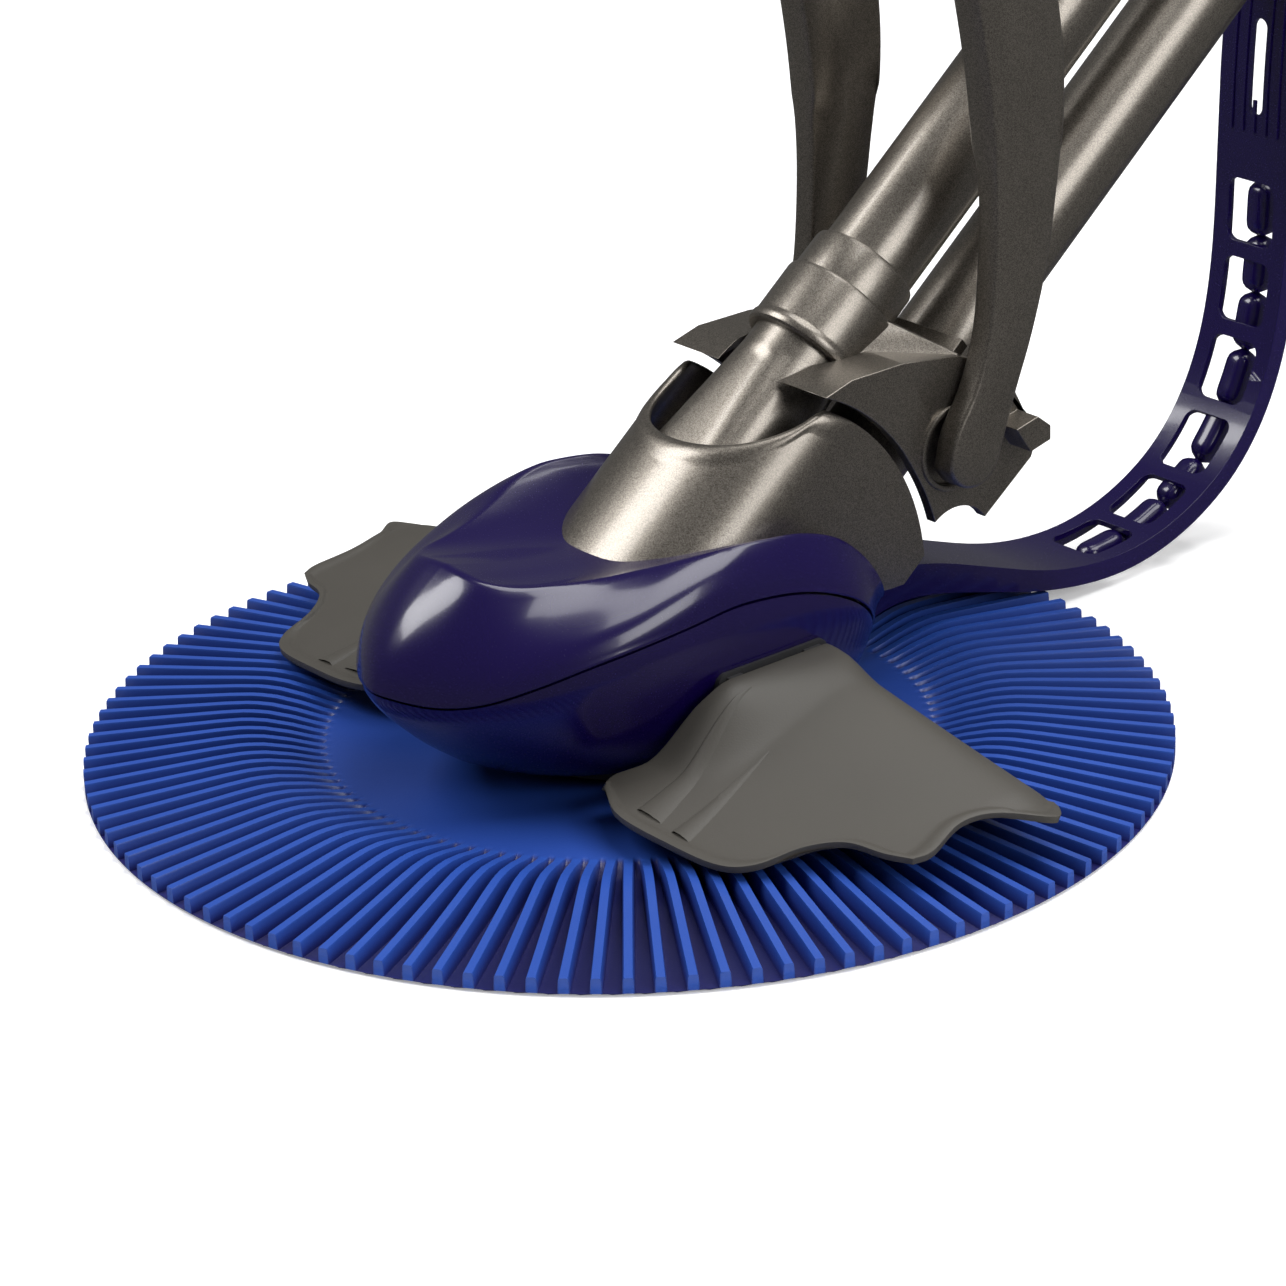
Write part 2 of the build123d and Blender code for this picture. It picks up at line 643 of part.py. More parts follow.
with BuildPart() as wing:
    with BuildSketch(wing_plane):
        with BuildLine():
            over = Spline(*WING_CREST)
            under_line = Spline(*[(y * 0.97 + 0.3, z - 3.6) for y, z in WING_CREST])
            Line(over @ 0, under_line @ 0)
            Line(over @ 1, under_line @ 1)
        make_face()
    extrude(amount=165)
    with BuildSketch(Plane.XY):
        with BuildLine():
            Polyline(*WING_OUTLINE)
        make_face()
    extrude(amount=80, mode=Mode.INTERSECT)
    with BuildSketch(Plane.XZ.offset(1.5)):
        with Locations((HINGE_X, HINGE_Z)):
            Circle(KNUCKLE_R)
        with Locations((HINGE_X + 4, HINGE_Z - 2.4)):
            Rectangle(8, 3.4)
    extrude(amount=-(HINGE_BACK - 10.5))
    with BuildSketch(Plane.XZ.offset(20)):
        with Locations((HINGE_X, HINGE_Z)):
            Circle(HINGE_PIN_R + 0.06)
    extrude(amount=-80, mode=Mode.SUBTRACT)
    # room for the cover's own knuckles
    for low, high in ((HINGE_FRONT - 0.6, -1.5), (HINGE_BACK - 9.0, HINGE_BACK + 0.6)):
        with BuildSketch(Plane.XZ.offset(-low)):
            with Locations((HINGE_X, HINGE_Z)):
                Circle(KNUCKLE_R + 0.8)
        extrude(amount=-(high - low), mode=Mode.SUBTRACT)

with BuildPart() as wing_bracket:
    with BuildSketch(Plane.YZ.offset(HINGE_X - 12)):
        with Locations(((HINGE_FRONT + HINGE_BACK) / 2, HINGE_Z - 4)):
            RectangleRounded(HINGE_BACK - HINGE_FRONT + 8, 20, 4)
    extrude(amount=6.5)
    add(outer_form, mode=Mode.SUBTRACT)
    for low, high in ((HINGE_FRONT, -2.0), (HINGE_BACK - 8.5, HINGE_BACK)):
        with BuildSketch(Plane.XZ.offset(-low)):
            with Locations((HINGE_X, HINGE_Z)):
                Circle(KNUCKLE_R)
            with Locations((HINGE_X - 4.5, HINGE_Z)):
                Rectangle(9, 2 * KNUCKLE_R)
        extrude(amount=-(high - low))
    with BuildSketch(Plane.XZ.offset(20)):
        with Locations((HINGE_X, HINGE_Z)):
            Circle(HINGE_PIN_R)
    extrude(amount=-80, mode=Mode.SUBTRACT)
    add(outer_form, mode=Mode.SUBTRACT)

with BuildPart() as wing_pin:
    with BuildSketch(Plane.XZ.offset(-HINGE_FRONT + 1)):
        with Locations((HINGE_X, HINGE_Z)):
            Circle(HINGE_PIN_R)
    extrude(amount=-(HINGE_BACK - HINGE_FRONT + 2))

for made, kind in ((wing, "wing"), (wing_bracket, "wing_bracket"), (wing_pin, "wing_pin")):
    solid = made.part
    save(solid, f"left_{kind}")
    with BuildPart() as other_side:
        mirror(solid, about=Plane.YZ)
    save(other_side.part, f"right_{kind}")

# ---------------------------------------------------------------- bumper strap
STRAP_LINE = [(104, 42), (133, 43.5), (160, 36.5), (188, 26.5), (213, 18.5), (240, 14), (268, 15),
              (294, 22.5),
              (321, 39.5), (341, 68), (351, 104), (354, 142), (355, 182), (357, 220), (360, 247)]
inner_edge = Spline(*[(0, y, z) for y, z in STRAP_LINE])


def strap_point(u, depth):
    """A point on the strap's section, at a depth out from its inner edge."""
    p, t = inner_edge @ u, inner_edge % u
    return (p.Y + depth * t.Z, p.Z - depth * t.Y)


def strap_plane(u, depth):
    """A plane at a station of the strap, lying along it. Its z axis points outwards."""
    t = inner_edge % u
    y, z = strap_point(u, depth)
    return Plane(origin=(0, y, z), x_dir=(1, 0, 0), z_dir=(0, t.Z, -t.Y))


def rail_depth(u):
    """The rails are deeper where the strap leaves the head."""
    return STRAP_DEPTH + 9.0 * max(0.0, 1 - u / 0.3) ** 1.5


STATIONS = [i / 24 for i in range(25)]


def strap_band(near, far, half):
    """The strap's section between two depths, as wide as asked."""
    with BuildPart() as band:
        with BuildSketch(Plane.YZ):
            with BuildLine():
                a = Spline(*[strap_point(u, near(u)) for u in STATIONS])
                b = Spline(*[strap_point(u, far(u)) for u in STATIONS])
                Line(a @ 0, b @ 0)
                Line(a @ 1, b @ 1)
            make_face()
        extrude(amount=half, both=True)
    return band.part


WINDOWS = [0.36 + 0.079 * i for i in range(6)]
with BuildPart() as strap_frame:
    add(strap_band(lambda u: 0.0, rail_depth, STRAP_HALF))
    add(strap_band(lambda u: WEB, lambda u: rail_depth(u) + 2, STRAP_HALF - RAIL), mode=Mode.SUBTRACT)
    for u in WINDOWS:
        with BuildSketch(strap_plane(u, -1.5)):
            RectangleRounded(26, 28, 5)
        extrude(amount=6, mode=Mode.SUBTRACT)
    with BuildSketch(strap_plane(0.9, -1.5)):
        SlotOverall(42, 8, rotation=90)
    extrude(amount=6, mode=Mode.SUBTRACT)
save(strap_frame.part, "strap_frame")

LINK_STRAIGHT = LINK_PITCH - 2 * LINK_R - 1.2
with BuildPart() as strap_links:
    for i in range(LINK_COUNT):
        seat = strap_plane(0.315 + i * LINK_PITCH / inner_edge.length, WEB + LINK_R + 0.1)
        run = Plane(origin=seat.origin, x_dir=(1, 0, 0), z_dir=seat.y_dir)
        with BuildSketch(run.offset(-LINK_STRAIGHT / 2)):
            Circle(LINK_R)
        extrude(amount=LINK_STRAIGHT)
        for end in (-LINK_STRAIGHT / 2, LINK_STRAIGHT / 2):
            with Locations(run.offset(end).origin):
                Sphere(LINK_R)
save(strap_links.part, "strap_links")

with BuildPart() as strap_screws:
    for u in (0.025, 0.97):
        with BuildSketch(strap_plane(u, WEB + 0.7)):
            with Locations((9, 0), (-9, 0)):
                Circle(3.2)
        extrude(amount=2.0)
save(strap_screws.part, "strap_screws")
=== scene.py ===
import json
from math import atan2, cos, pi, radians, sin

import bmesh
import bpy
import numpy as np
from mathutils import Matrix, Vector

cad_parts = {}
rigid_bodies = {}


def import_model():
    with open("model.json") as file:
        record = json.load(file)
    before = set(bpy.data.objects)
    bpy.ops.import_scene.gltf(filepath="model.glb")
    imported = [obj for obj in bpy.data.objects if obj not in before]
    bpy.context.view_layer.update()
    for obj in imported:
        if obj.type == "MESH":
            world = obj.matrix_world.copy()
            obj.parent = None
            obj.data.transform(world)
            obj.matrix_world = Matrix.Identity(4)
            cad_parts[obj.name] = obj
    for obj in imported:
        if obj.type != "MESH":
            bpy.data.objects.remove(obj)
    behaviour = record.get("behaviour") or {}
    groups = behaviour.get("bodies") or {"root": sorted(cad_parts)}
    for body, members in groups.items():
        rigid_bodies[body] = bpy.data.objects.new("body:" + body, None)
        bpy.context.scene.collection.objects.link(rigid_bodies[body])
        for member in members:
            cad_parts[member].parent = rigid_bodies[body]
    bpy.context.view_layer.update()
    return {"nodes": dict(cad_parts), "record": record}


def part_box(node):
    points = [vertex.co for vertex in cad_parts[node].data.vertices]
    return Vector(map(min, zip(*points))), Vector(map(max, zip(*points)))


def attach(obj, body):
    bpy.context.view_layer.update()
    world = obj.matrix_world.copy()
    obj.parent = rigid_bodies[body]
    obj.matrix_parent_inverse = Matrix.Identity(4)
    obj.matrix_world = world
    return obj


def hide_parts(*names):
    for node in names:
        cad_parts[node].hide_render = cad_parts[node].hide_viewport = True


bl_info = {
    "name": "Pool cleaner",
    "version": (1, 0, 0),
    "blender": (4, 5, 0),
    "location": "3D View > Sidebar > Pool cleaner",
    "description": "Builds a suction pool cleaner piece by piece round its engineering model",
    "category": "Object",
}

# Lengths in the helper functions are millimetres. +Z is up, the nose points along -Y, and the
# cleaner's own left is +X.
MM = 0.001

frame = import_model()

# The two tubes lie in the YZ plane, tilted up and back.
TILT = radians(39.0)
TUBE_ORIGIN = (134.7, 172.6)

# Head outlines: height, nose, half width, tail.
HEAD_SECTIONS = ((14.5, 78, 54, 90), (35, 104, 64, 97), (58, 122, 70.5, 99), (80, 112, 70, 95),
                 (103, 84, 58, 80))
# The line where the covers meet: fore-and-aft place and height.
PARTING = ((-122, 58.5), (-112, 57), (-101, 59), (-85, 65), (-66, 71), (-43, 75.5), (-20, 78.5), (0, 80),
           (25, 77.5), (44, 72), (63, 62), (80, 46), (92, 28), (98, 17))
# The crease round the deck: side distance, fore-and-aft place and height.
CREASE = ((0, -86, 101), (10, -86, 100.3), (20, -83.5, 98.5), (29, -74, 96.3), (35, -59, 95), (41, -43, 95),
          (48, -26, 96.5), (55.5, -10, 98.8), (60, 6, 99.8), (61, 22, 98.6), (60.5, 40, 95.5), (59.5, 59, 88),
          (57.5, 75, 75), (54, 87, 60), (45, 95, 48), (28, 98, 43), (0, 98.5, 42))

# The hood's section square to the tubes: a rounded front with flat sides, centred across the tubes.
HOOD_HALF, HOOD_FRONT, HOOD_CENTRE, HOOD_POWER = 45.0, 30.0, -4.0, 2.1
# Where the hood stands on the deck: side distance, fore-and-aft place and height.
HOOD_BASE = ((0, -18, 87), (17, -15, 87), (31, -2, 89), (43, 24, 91), (45, 42, 88), (45, 73, 77),
             (45, 97, 53))
# The hood's mouth is an arc behind and a line of these points, across and along the tubes, in front.
MOUTH_ARC = (28.0, 52.0)
MOUTH_ARC_R = 91.0
MOUTH_FRONT = ((10, -75.5), (11.5, -79), (14, -87), (18, -96), (22, -103.5), (26, -110), (30, -116))

# The arms' front and rear edges, then the pivot and the grip's axis: fore-and-aft place and height.
ARM_FRONT = ((120.6, 98), (124, 112), (134, 128), (141, 148), (144, 172), (145, 200), (143.5, 225),
             (141, 248), (137, 272), (131, 300), (124, 326))
ARM_REAR = ((150, 342), (163, 322), (172, 300), (178.5, 272), (181, 248), (180.5, 225), (178, 202),
            (173, 172), (165, 145), (156, 122), (147.2, 97))
HUB = (134.0, 101.5)
GRIP = (138.0, 330.0)

# The wing's edges in plan, and the height of its crest along the fore-and-aft direction.
WING_REAR = ((73.5, 49), (110, 49), (150, 48.5), (193, 47))
WING_OUTER = ((193, 47), (203, 36), (191, 20), (186, 4), (190, -14), (188, -22))
WING_FRONT = ((65, -65), (84, -74), (112, -74), (136, -71), (147, -62), (153, -44), (163, -32), (178, -27),
              (188, -22))
WING_INNER = ((73.5, 49), (73.5, 20), (73.5, -14), (71, -26), (66, -45), (60, -57), (65, -65))
WING_CREST = ((-82, 17.5), (-66, 20), (-45, 26), (-20, 35), (5, 45), (22, 50), (34, 50.5), (43, 45), (48, 37),
              (50, 29))

# The strap's inner edge: fore-and-aft place and height.
STRAP_LINE = ((104, 42), (133, 43.5), (160, 36.5), (188, 26.5), (213, 18.5), (240, 14), (268, 15),
              (294, 22.5), (321, 39.5), (341, 68), (351, 104), (354, 142), (355, 182), (357, 220), (360, 247))


# ---------------------------------------------------------------- numbers and curves
def smooth(x):
    """A smooth step from 0 to 1."""
    x = np.clip(x, 0.0, 1.0)
    return x * x * (3 - 2 * x)


def curve(points, count):
    """Points evenly spaced along a smooth line through the given ones."""
    given = np.array(points, float)
    ends = np.vstack([2 * given[0] - given[1], given, 2 * given[-1] - given[-2]])
    dense = []
    for a, b, c, d in zip(ends[:-3], ends[1:-2], ends[2:-1], ends[3:]):
        for t in np.linspace(0, 1, 24, endpoint=False):
            dense.append(0.5 * (2 * b + (c - a) * t + (2 * a - 5 * b + 4 * c - d) * t**2
                                + (3 * b - a - 3 * c + d) * t**3))
    dense = np.array(dense + [given[-1]])
    run = np.concatenate([[0], np.cumsum(np.linalg.norm(np.diff(dense, axis=0), axis=1))])
    at = np.linspace(0, run[-1], count)
    return np.stack([np.interp(at, run, dense[:, k]) for k in range(dense.shape[1])], axis=1)


def lookup(table, x):
    """A value read off a smooth line given as (x, value) pairs."""
    line = curve(table, 12 * len(table))
    return np.interp(x, line[:, 0], line[:, 1])


def tube_point(along, across, x):
    """A point given by its distance along the tubes, across them and to the side."""
    c, s = cos(TILT), sin(TILT)
    along, across, x = np.broadcast_arrays(np.array(along, float), across, x)
    y = TUBE_ORIGIN[0] + c * along - s * across
    z = TUBE_ORIGIN[1] + s * along + c * across
    return np.stack([x, y, z], axis=-1)


def hood_wall(bend):
    """The hood's section, side distance and distance across the tubes, from its front to its flat side."""
    x = HOOD_HALF * np.sin(bend)**(2 / HOOD_POWER)
    across = HOOD_CENTRE + (HOOD_FRONT - HOOD_CENTRE) * np.cos(bend)**(2 / HOOD_POWER)
    return x, across


def hood_mouth(across):
    """How far along the tubes the hood reaches."""
    start = tube_point(0.0, across, 0.0)
    y, z = start[..., 1] - MOUTH_ARC[0], start[..., 2] - MOUTH_ARC[1]
    half = y * cos(TILT) + z * sin(TILT)
    arc = np.sqrt(half**2 - y**2 - z**2 + MOUTH_ARC_R**2) - half
    return np.where(across < MOUTH_FRONT[0][0], arc, lookup(MOUTH_FRONT, across))


# ---------------------------------------------------------------- meshes
def new_piece(name, vertices, faces, smooth_angle=40.0):
    """A mesh object from millimetre points, with its normals facing out."""
    mesh = bpy.data.meshes.new(name)
    mesh.from_pydata([tuple(v) for v in np.array(vertices, float) * MM], [], faces)
    work = bmesh.new()
    work.from_mesh(mesh)
    bmesh.ops.remove_doubles(work, verts=work.verts, dist=1e-6)
    bmesh.ops.recalc_face_normals(work, faces=work.faces)
    work.to_mesh(mesh)
    work.free()
    mesh.shade_smooth()
    mesh.set_sharp_from_angle(angle=radians(smooth_angle))
    piece = bpy.data.objects.new(name, mesh)
    bpy.context.scene.collection.objects.link(piece)
    return piece


def grid_faces(rows, columns, close_rows=False, close_columns=False):
    """The quads of a grid of points, stored row by row."""
    faces = []
    for i in range(rows if close_rows else rows - 1):
        for j in range(columns if close_columns else columns - 1):
            a, b = i * columns + j, i * columns + (j + 1) % columns
            c, d = ((i + 1) % rows) * columns + (j + 1) % columns, ((i + 1) % rows) * columns + j
            faces.append((a, b, c, d))
    return faces


def grid_piece(name, points, close_rows=False, close_columns=False, caps=False, smooth_angle=40.0):
    """A surface through a grid of points. Caps close the first and last rows."""
    rows, columns = points.shape[:2]
    faces = grid_faces(rows, columns, close_rows, close_columns)
    if caps:
        faces.append(tuple(range(columns)))
        faces.append(tuple(range((rows - 1) * columns, rows * columns)))
    return new_piece(name, points.reshape(-1, 3), faces, smooth_angle)


def thicken(piece, thickness, offset=-1.0):
    """Gives a surface a wall."""
    wall = piece.modifiers.new("Wall", "SOLIDIFY")
    wall.thickness = thickness
    wall.offset = offset
    wall.use_even_offset = True
    return piece


def soften(piece, width, segments=2, angle=32.0):
    """Rounds the sharp edges of a piece."""
    edge = piece.modifiers.new("Rounded edges", "BEVEL")
    edge.width = width
    edge.segments = segments
    edge.limit_method = "ANGLE"
    edge.angle_limit = radians(angle)
    edge.use_clamp_overlap = True
    edge.harden_normals = False
    return piece


def rounded_copy(name, node, width):
    """A piece with the outline of an engineering part and softened edges."""
    mesh = frame["nodes"][node].data.copy()
    mesh.materials.clear()
    work = bmesh.new()
    work.from_mesh(mesh)
    bmesh.ops.remove_doubles(work, verts=work.verts, dist=2e-6)
    bmesh.ops.dissolve_limit(work, angle_limit=radians(1.0), verts=work.verts, edges=work.edges)
    bmesh.ops.recalc_face_normals(work, faces=work.faces)
    work.to_mesh(mesh)
    work.free()
    mesh.shade_smooth()
    mesh.set_sharp_from_angle(angle=radians(30.0))
    piece = bpy.data.objects.new(name, mesh)
    bpy.context.scene.collection.objects.link(piece)
    return soften(piece, width)


def plate(name, loop, inner, outer, bevel):
    """A plate from a closed outline in the YZ plane, between two side distances that may vary along it."""
    loop = np.array(loop, float)
    ahead, behind = np.roll(loop, -1, axis=0), np.roll(loop, 1, axis=0)
    run = ahead - behind
    normal = np.stack([run[:, 1], -run[:, 0]], axis=1) / np.linalg.norm(run, axis=1)[:, None]
    area = np.sum(loop[:, 0] * ahead[:, 1] - ahead[:, 0] * loop[:, 1])
    inward = -normal if area > 0 else normal
    rows = []
    for side, sign in ((inner, 1), (outer, -1)):
        turn = [(1.0, 0.0), (0.3, 0.3), (0.0, 1.0)]
        for inset, rise in turn if sign > 0 else turn[::-1]:
            flat = loop + inward * inset * bevel
            rows.append(np.column_stack([side(loop) + sign * rise * bevel, flat]))
    points = np.array(rows)
    count = len(loop)
    faces = grid_faces(len(rows), count, close_columns=True)
    piece = new_piece(name, points.reshape(-1, 3), faces + [tuple(range(count)),
                      tuple(range((len(rows) - 1) * count, len(rows) * count))], 50.0)
    return piece


def sweep(name, centres, sideways, outwards, section, close=True, caps=True, smooth_angle=40.0):
    """A section carried along a line. The section may differ at each station."""
    rows = []
    for k, centre in enumerate(centres):
        shape = section(k / (len(centres) - 1))
        rows.append(centre + np.outer(shape[:, 0], sideways[k]) + np.outer(shape[:, 1], outwards[k]))
    return grid_piece(name, np.array(rows), close_columns=close, caps=caps, smooth_angle=smooth_angle)


def mirrored(name, piece):
    """The same piece on the cleaner's other side."""
    mesh = piece.data.copy()
    mesh.transform(Matrix.Scale(-1, 4, Vector((1, 0, 0))))
    mesh.flip_normals()
    other = bpy.data.objects.new(name, mesh)
    bpy.context.scene.collection.objects.link(other)
    for old in piece.modifiers:
        new = other.modifiers.new(old.name, old.type)
        for key in ("thickness", "offset", "use_even_offset", "width", "segments", "limit_method",
                    "angle_limit"):
            if hasattr(old, key):
                setattr(new, key, getattr(old, key))
    return other


# ---------------------------------------------------------------- materials
class Term:
    """A socket that can be used in an arithmetic expression."""

    def __init__(self, graph, socket):
        self.graph = graph
        self.socket = socket

    def __add__(self, other):
        return self.graph.math("ADD", self, other)

    def __radd__(self, other):
        return self.graph.math("ADD", other, self)

    def __sub__(self, other):
        return self.graph.math("SUBTRACT", self, other)

    def __rsub__(self, other):
        return self.graph.math("SUBTRACT", other, self)

    def __mul__(self, other):
        return self.graph.math("MULTIPLY", self, other)

    def __rmul__(self, other):
        return self.graph.math("MULTIPLY", other, self)


class Graph:
    """The node tree of one material."""

    def __init__(self, name):
        self.material = bpy.data.materials.new(name)
        self.material.use_nodes = True
        self.tree = self.material.node_tree
        self.shader = self.tree.nodes["Principled BSDF"]

    def node(self, kind, output, settings=None, inputs=None):
        """Adds a node: its settings first, then its values and links. Returns one output."""
        made = self.tree.nodes.new(kind)
        for key, value in (settings or {}).items():
            setattr(made, key, value)
        for key, value in (inputs or {}).items():
            self.put(made.inputs[key], value)
        return Term(self, made.outputs[output])

    def put(self, socket, value):
        """Links a term to a socket, or sets the socket's value."""
        if isinstance(value, Term):
            self.tree.links.new(value.socket, socket)
        else:
            socket.default_value = value

    def math(self, operation, a, b):
        return self.node("ShaderNodeMath", 0, {"operation": operation}, {0: a, 1: b})

    def stretch(self, vector, factors):
        return self.node("ShaderNodeVectorMath", 0, {"operation": "MULTIPLY"}, {0: vector, 1: factors})

    def mix(self, factor, a, b):
        """A colour between two colours."""
        return self.node("ShaderNodeMix", 2, {"data_type": "RGBA"}, {0: factor, 6: a, 7: b})

    def place(self):
        """Where a point is on the cleaner, whatever its pose."""
        return self.node("ShaderNodeTexCoord", "Object")

    def noise(self, scale, detail=3.0, vector=None):
        """Soft noise from 0 to 1. Scale is in features per metre."""
        return self.node("ShaderNodeTexNoise", 0, {"noise_dimensions": "3D"},
                         {"Vector": vector or self.place(), "Scale": scale, "Detail": detail})

    def flakes(self, scale):
        """A value for each small cell."""
        cells = self.node("ShaderNodeTexVoronoi", "Color", {"voronoi_dimensions": "3D"},
                          {"Vector": self.place(), "Scale": scale})
        return self.node("ShaderNodeSeparateColor", 0, {}, {0: cells})

    def clamp(self, value, low=0.0, high=1.0):
        return self.node("ShaderNodeClamp", 0, {}, {0: value, 1: low, 2: high})

    def bump(self, height, strength, distance):
        """Relief from a height, for the shader's Normal."""
        return self.node("ShaderNodeBump", 0, {},
                         {"Height": height, "Strength": strength, "Distance": distance})

    def shade(self, **values):
        """Sets the shader's sockets. Names use underscores for spaces."""
        for key, value in values.items():
            self.put(self.shader.inputs[key.replace("_", " ")], value)
        return self.material


def rgba(colour, factor=1.0):
    """A colour property as four numbers, made lighter or darker."""
    return tuple(min(1.0, c * factor) for c in colour[:3]) + (1.0,)


def seal_blue(g, colour, deep):
    # The ridge attribute paints shade into the pleats' valleys: the deep colour there is painted shade, partly
    # also the membrane's darker tone.
    ridge = g.node("ShaderNodeAttribute", "Fac", {"attribute_name": "ridge"})
    cloud = g.noise(14.0, 4.0)
    grain = g.noise(900.0, 2.0)
    lit = g.mix(g.clamp(ridge * 0.85 + cloud * 0.3 - 0.08), rgba(deep), rgba(colour))
    return g.shade(Base_Color=lit, Roughness=0.30 + cloud * 0.14, Specular_IOR_Level=0.5,
                   Normal=g.bump(grain, 0.12, 0.0003))


def body_blue(g, colour, deep):
    cloud = g.noise(9.0, 3.0)
    peel = g.noise(260.0, 2.0)
    specks = g.clamp((g.noise(1500.0, 2.0) - 0.62) * 6.0)
    return g.shade(Base_Color=g.mix(g.clamp(cloud * 1.2 - 0.1), rgba(colour), rgba(deep)),
                   Roughness=0.22 + specks * 0.06 + cloud * 0.05, Coat_Weight=0.5, Coat_Roughness=0.10,
                   Specular_IOR_Level=0.4, Normal=g.bump(peel, 0.03, 0.0003))


def metallic_grey(g, colour, deep):
    flake = g.flakes(3200.0)
    cloud = g.noise(12.0, 3.0)
    tone = g.clamp(flake * 0.75 + cloud * 0.25)
    return g.shade(Base_Color=g.mix(tone, rgba(deep), rgba(colour)), Metallic=0.88,
                   Roughness=0.27 + flake * 0.10 + cloud * 0.04, Coat_Weight=0.3, Coat_Roughness=0.12,
                   Normal=g.bump(flake, 0.10, 0.0002))


def wing_grey(g, colour, deep):
    grain = g.noise(1400.0, 3.0)
    cloud = g.noise(18.0, 4.0)
    return g.shade(Base_Color=g.mix(g.clamp(cloud * 0.8 + grain * 0.2), rgba(deep), rgba(colour)),
                   Roughness=0.46 + cloud * 0.10 + grain * 0.06, Specular_IOR_Level=0.45,
                   Normal=g.bump(grain, 0.22, 0.0003))


def matte_black(g, colour, deep):
    grain = g.noise(1100.0, 3.0)
    cloud = g.noise(25.0, 3.0)
    return g.shade(Base_Color=g.mix(cloud, rgba(deep), rgba(colour)), Roughness=0.48 + grain * 0.14,
                   Normal=g.bump(grain, 0.2, 0.0003))


def dull_rubber(g, colour, deep):
    grain = g.noise(600.0, 5.0)
    dust = g.clamp((g.noise(30.0, 4.0) - 0.45) * 2.0)
    return g.shade(Base_Color=g.mix(dust, rgba(colour), rgba(deep)), Roughness=0.62 + grain * 0.2,
                   Specular_IOR_Level=0.3, Normal=g.bump(grain, 0.3, 0.0004))


def brushed_steel(g, colour, deep):
    lines = g.noise(900.0, 2.0, g.stretch(g.place(), (1.0, 1.0, 0.06)))
    return g.shade(Base_Color=g.mix(lines, rgba(deep), rgba(colour)), Metallic=1.0,
                   Roughness=0.22 + lines * 0.18, Normal=g.bump(lines, 0.15, 0.0002))


def cast_iron(g, colour, deep):
    lumps = g.noise(240.0, 5.0)
    rust = g.clamp((g.noise(40.0, 4.0) - 0.5) * 3.0)
    return g.shade(Base_Color=g.mix(rust, rgba(colour), rgba(deep)), Metallic=0.6,
                   Roughness=0.55 + lumps * 0.25, Normal=g.bump(lumps, 0.5, 0.0006))


RECIPES = {"seal_blue": seal_blue, "body_blue": body_blue, "metallic_grey": metallic_grey,
           "wing_grey": wing_grey, "chamber_black": matte_black, "pad_rubber": dull_rubber,
           "flapper_rubber": dull_rubber, "steel": brushed_steel, "weight_iron": cast_iron}


def material(slot):
    """The material of a slot, made once."""
    found = bpy.data.materials.get(slot + "_finish")
    if found:
        return found
    colours = bpy.context.scene.pool_cleaner_colours
    return RECIPES[slot](Graph(slot + "_finish"), getattr(colours, slot), getattr(colours, slot + "_deep"))


def finish(piece, slot, body, *nodes):
    """Gives a piece its material, sets it to ride on a body and to stand for engineering parts."""
    piece.data.materials.clear()
    piece.data.materials.append(material(slot))
    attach(piece, body)
    if nodes:
        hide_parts(*nodes)
    return piece


# ---------------------------------------------------------------- settings
def length(name, text, default):
    return bpy.props.FloatProperty(name=name, description=text, default=default, min=0.0, unit="LENGTH",
                                   subtype="DISTANCE", precision=4)


def turn(name, text, default):
    return bpy.props.FloatProperty(name=name, description=text, default=radians(default), unit="ROTATION",
                                   subtype="ANGLE")


def colour(name, text, default):
    return bpy.props.FloatVectorProperty(name=name, description=text, default=default, size=3, min=0.0,
                                         max=1.0, subtype="COLOR")


class PoolCleanerSizes(bpy.types.PropertyGroup):
    """Sizes of the pieces and of the stage."""

    pleat_count: bpy.props.IntProperty(name="Pleats", description="How many pleats the seal has",
                                       default=118, min=3)
    membrane: length("Membrane", "Thickness of the seal's folded sheet", 0.0011)
    wing_wall: length("Wing wall", "Thickness of the wings", 0.0028)
    wing_lip: length("Wing lip", "Height of the raised lip round the wings", 0.0016)
    hood_lip: length("Hood lip", "How far the rolled lip stands out from the hood", 0.0008)
    seam: length("Seam", "Width of the step between the head's covers", 0.0009)
    edge_round: length("Edge rounding", "Rounding of moulded edges", 0.0009)
    bead_radius: length("Bead radius", "Radius of the strap's beads", 0.0064)
    camera_distance: length("Camera distance", "From the camera to the middle of the view", 1.45)
    camera_lens: bpy.props.FloatProperty(name="Lens", description="Focal length on a 36 mm sensor",
                                         default=120.65, unit="CAMERA")
    camera_azimuth: turn("Azimuth", "Camera turned from the nose towards the left side", 51.0)
    camera_elevation: turn("Elevation", "Camera above the horizon", 23.31)
    camera_roll: turn("Roll", "Camera turned about its own axis", -1.97)


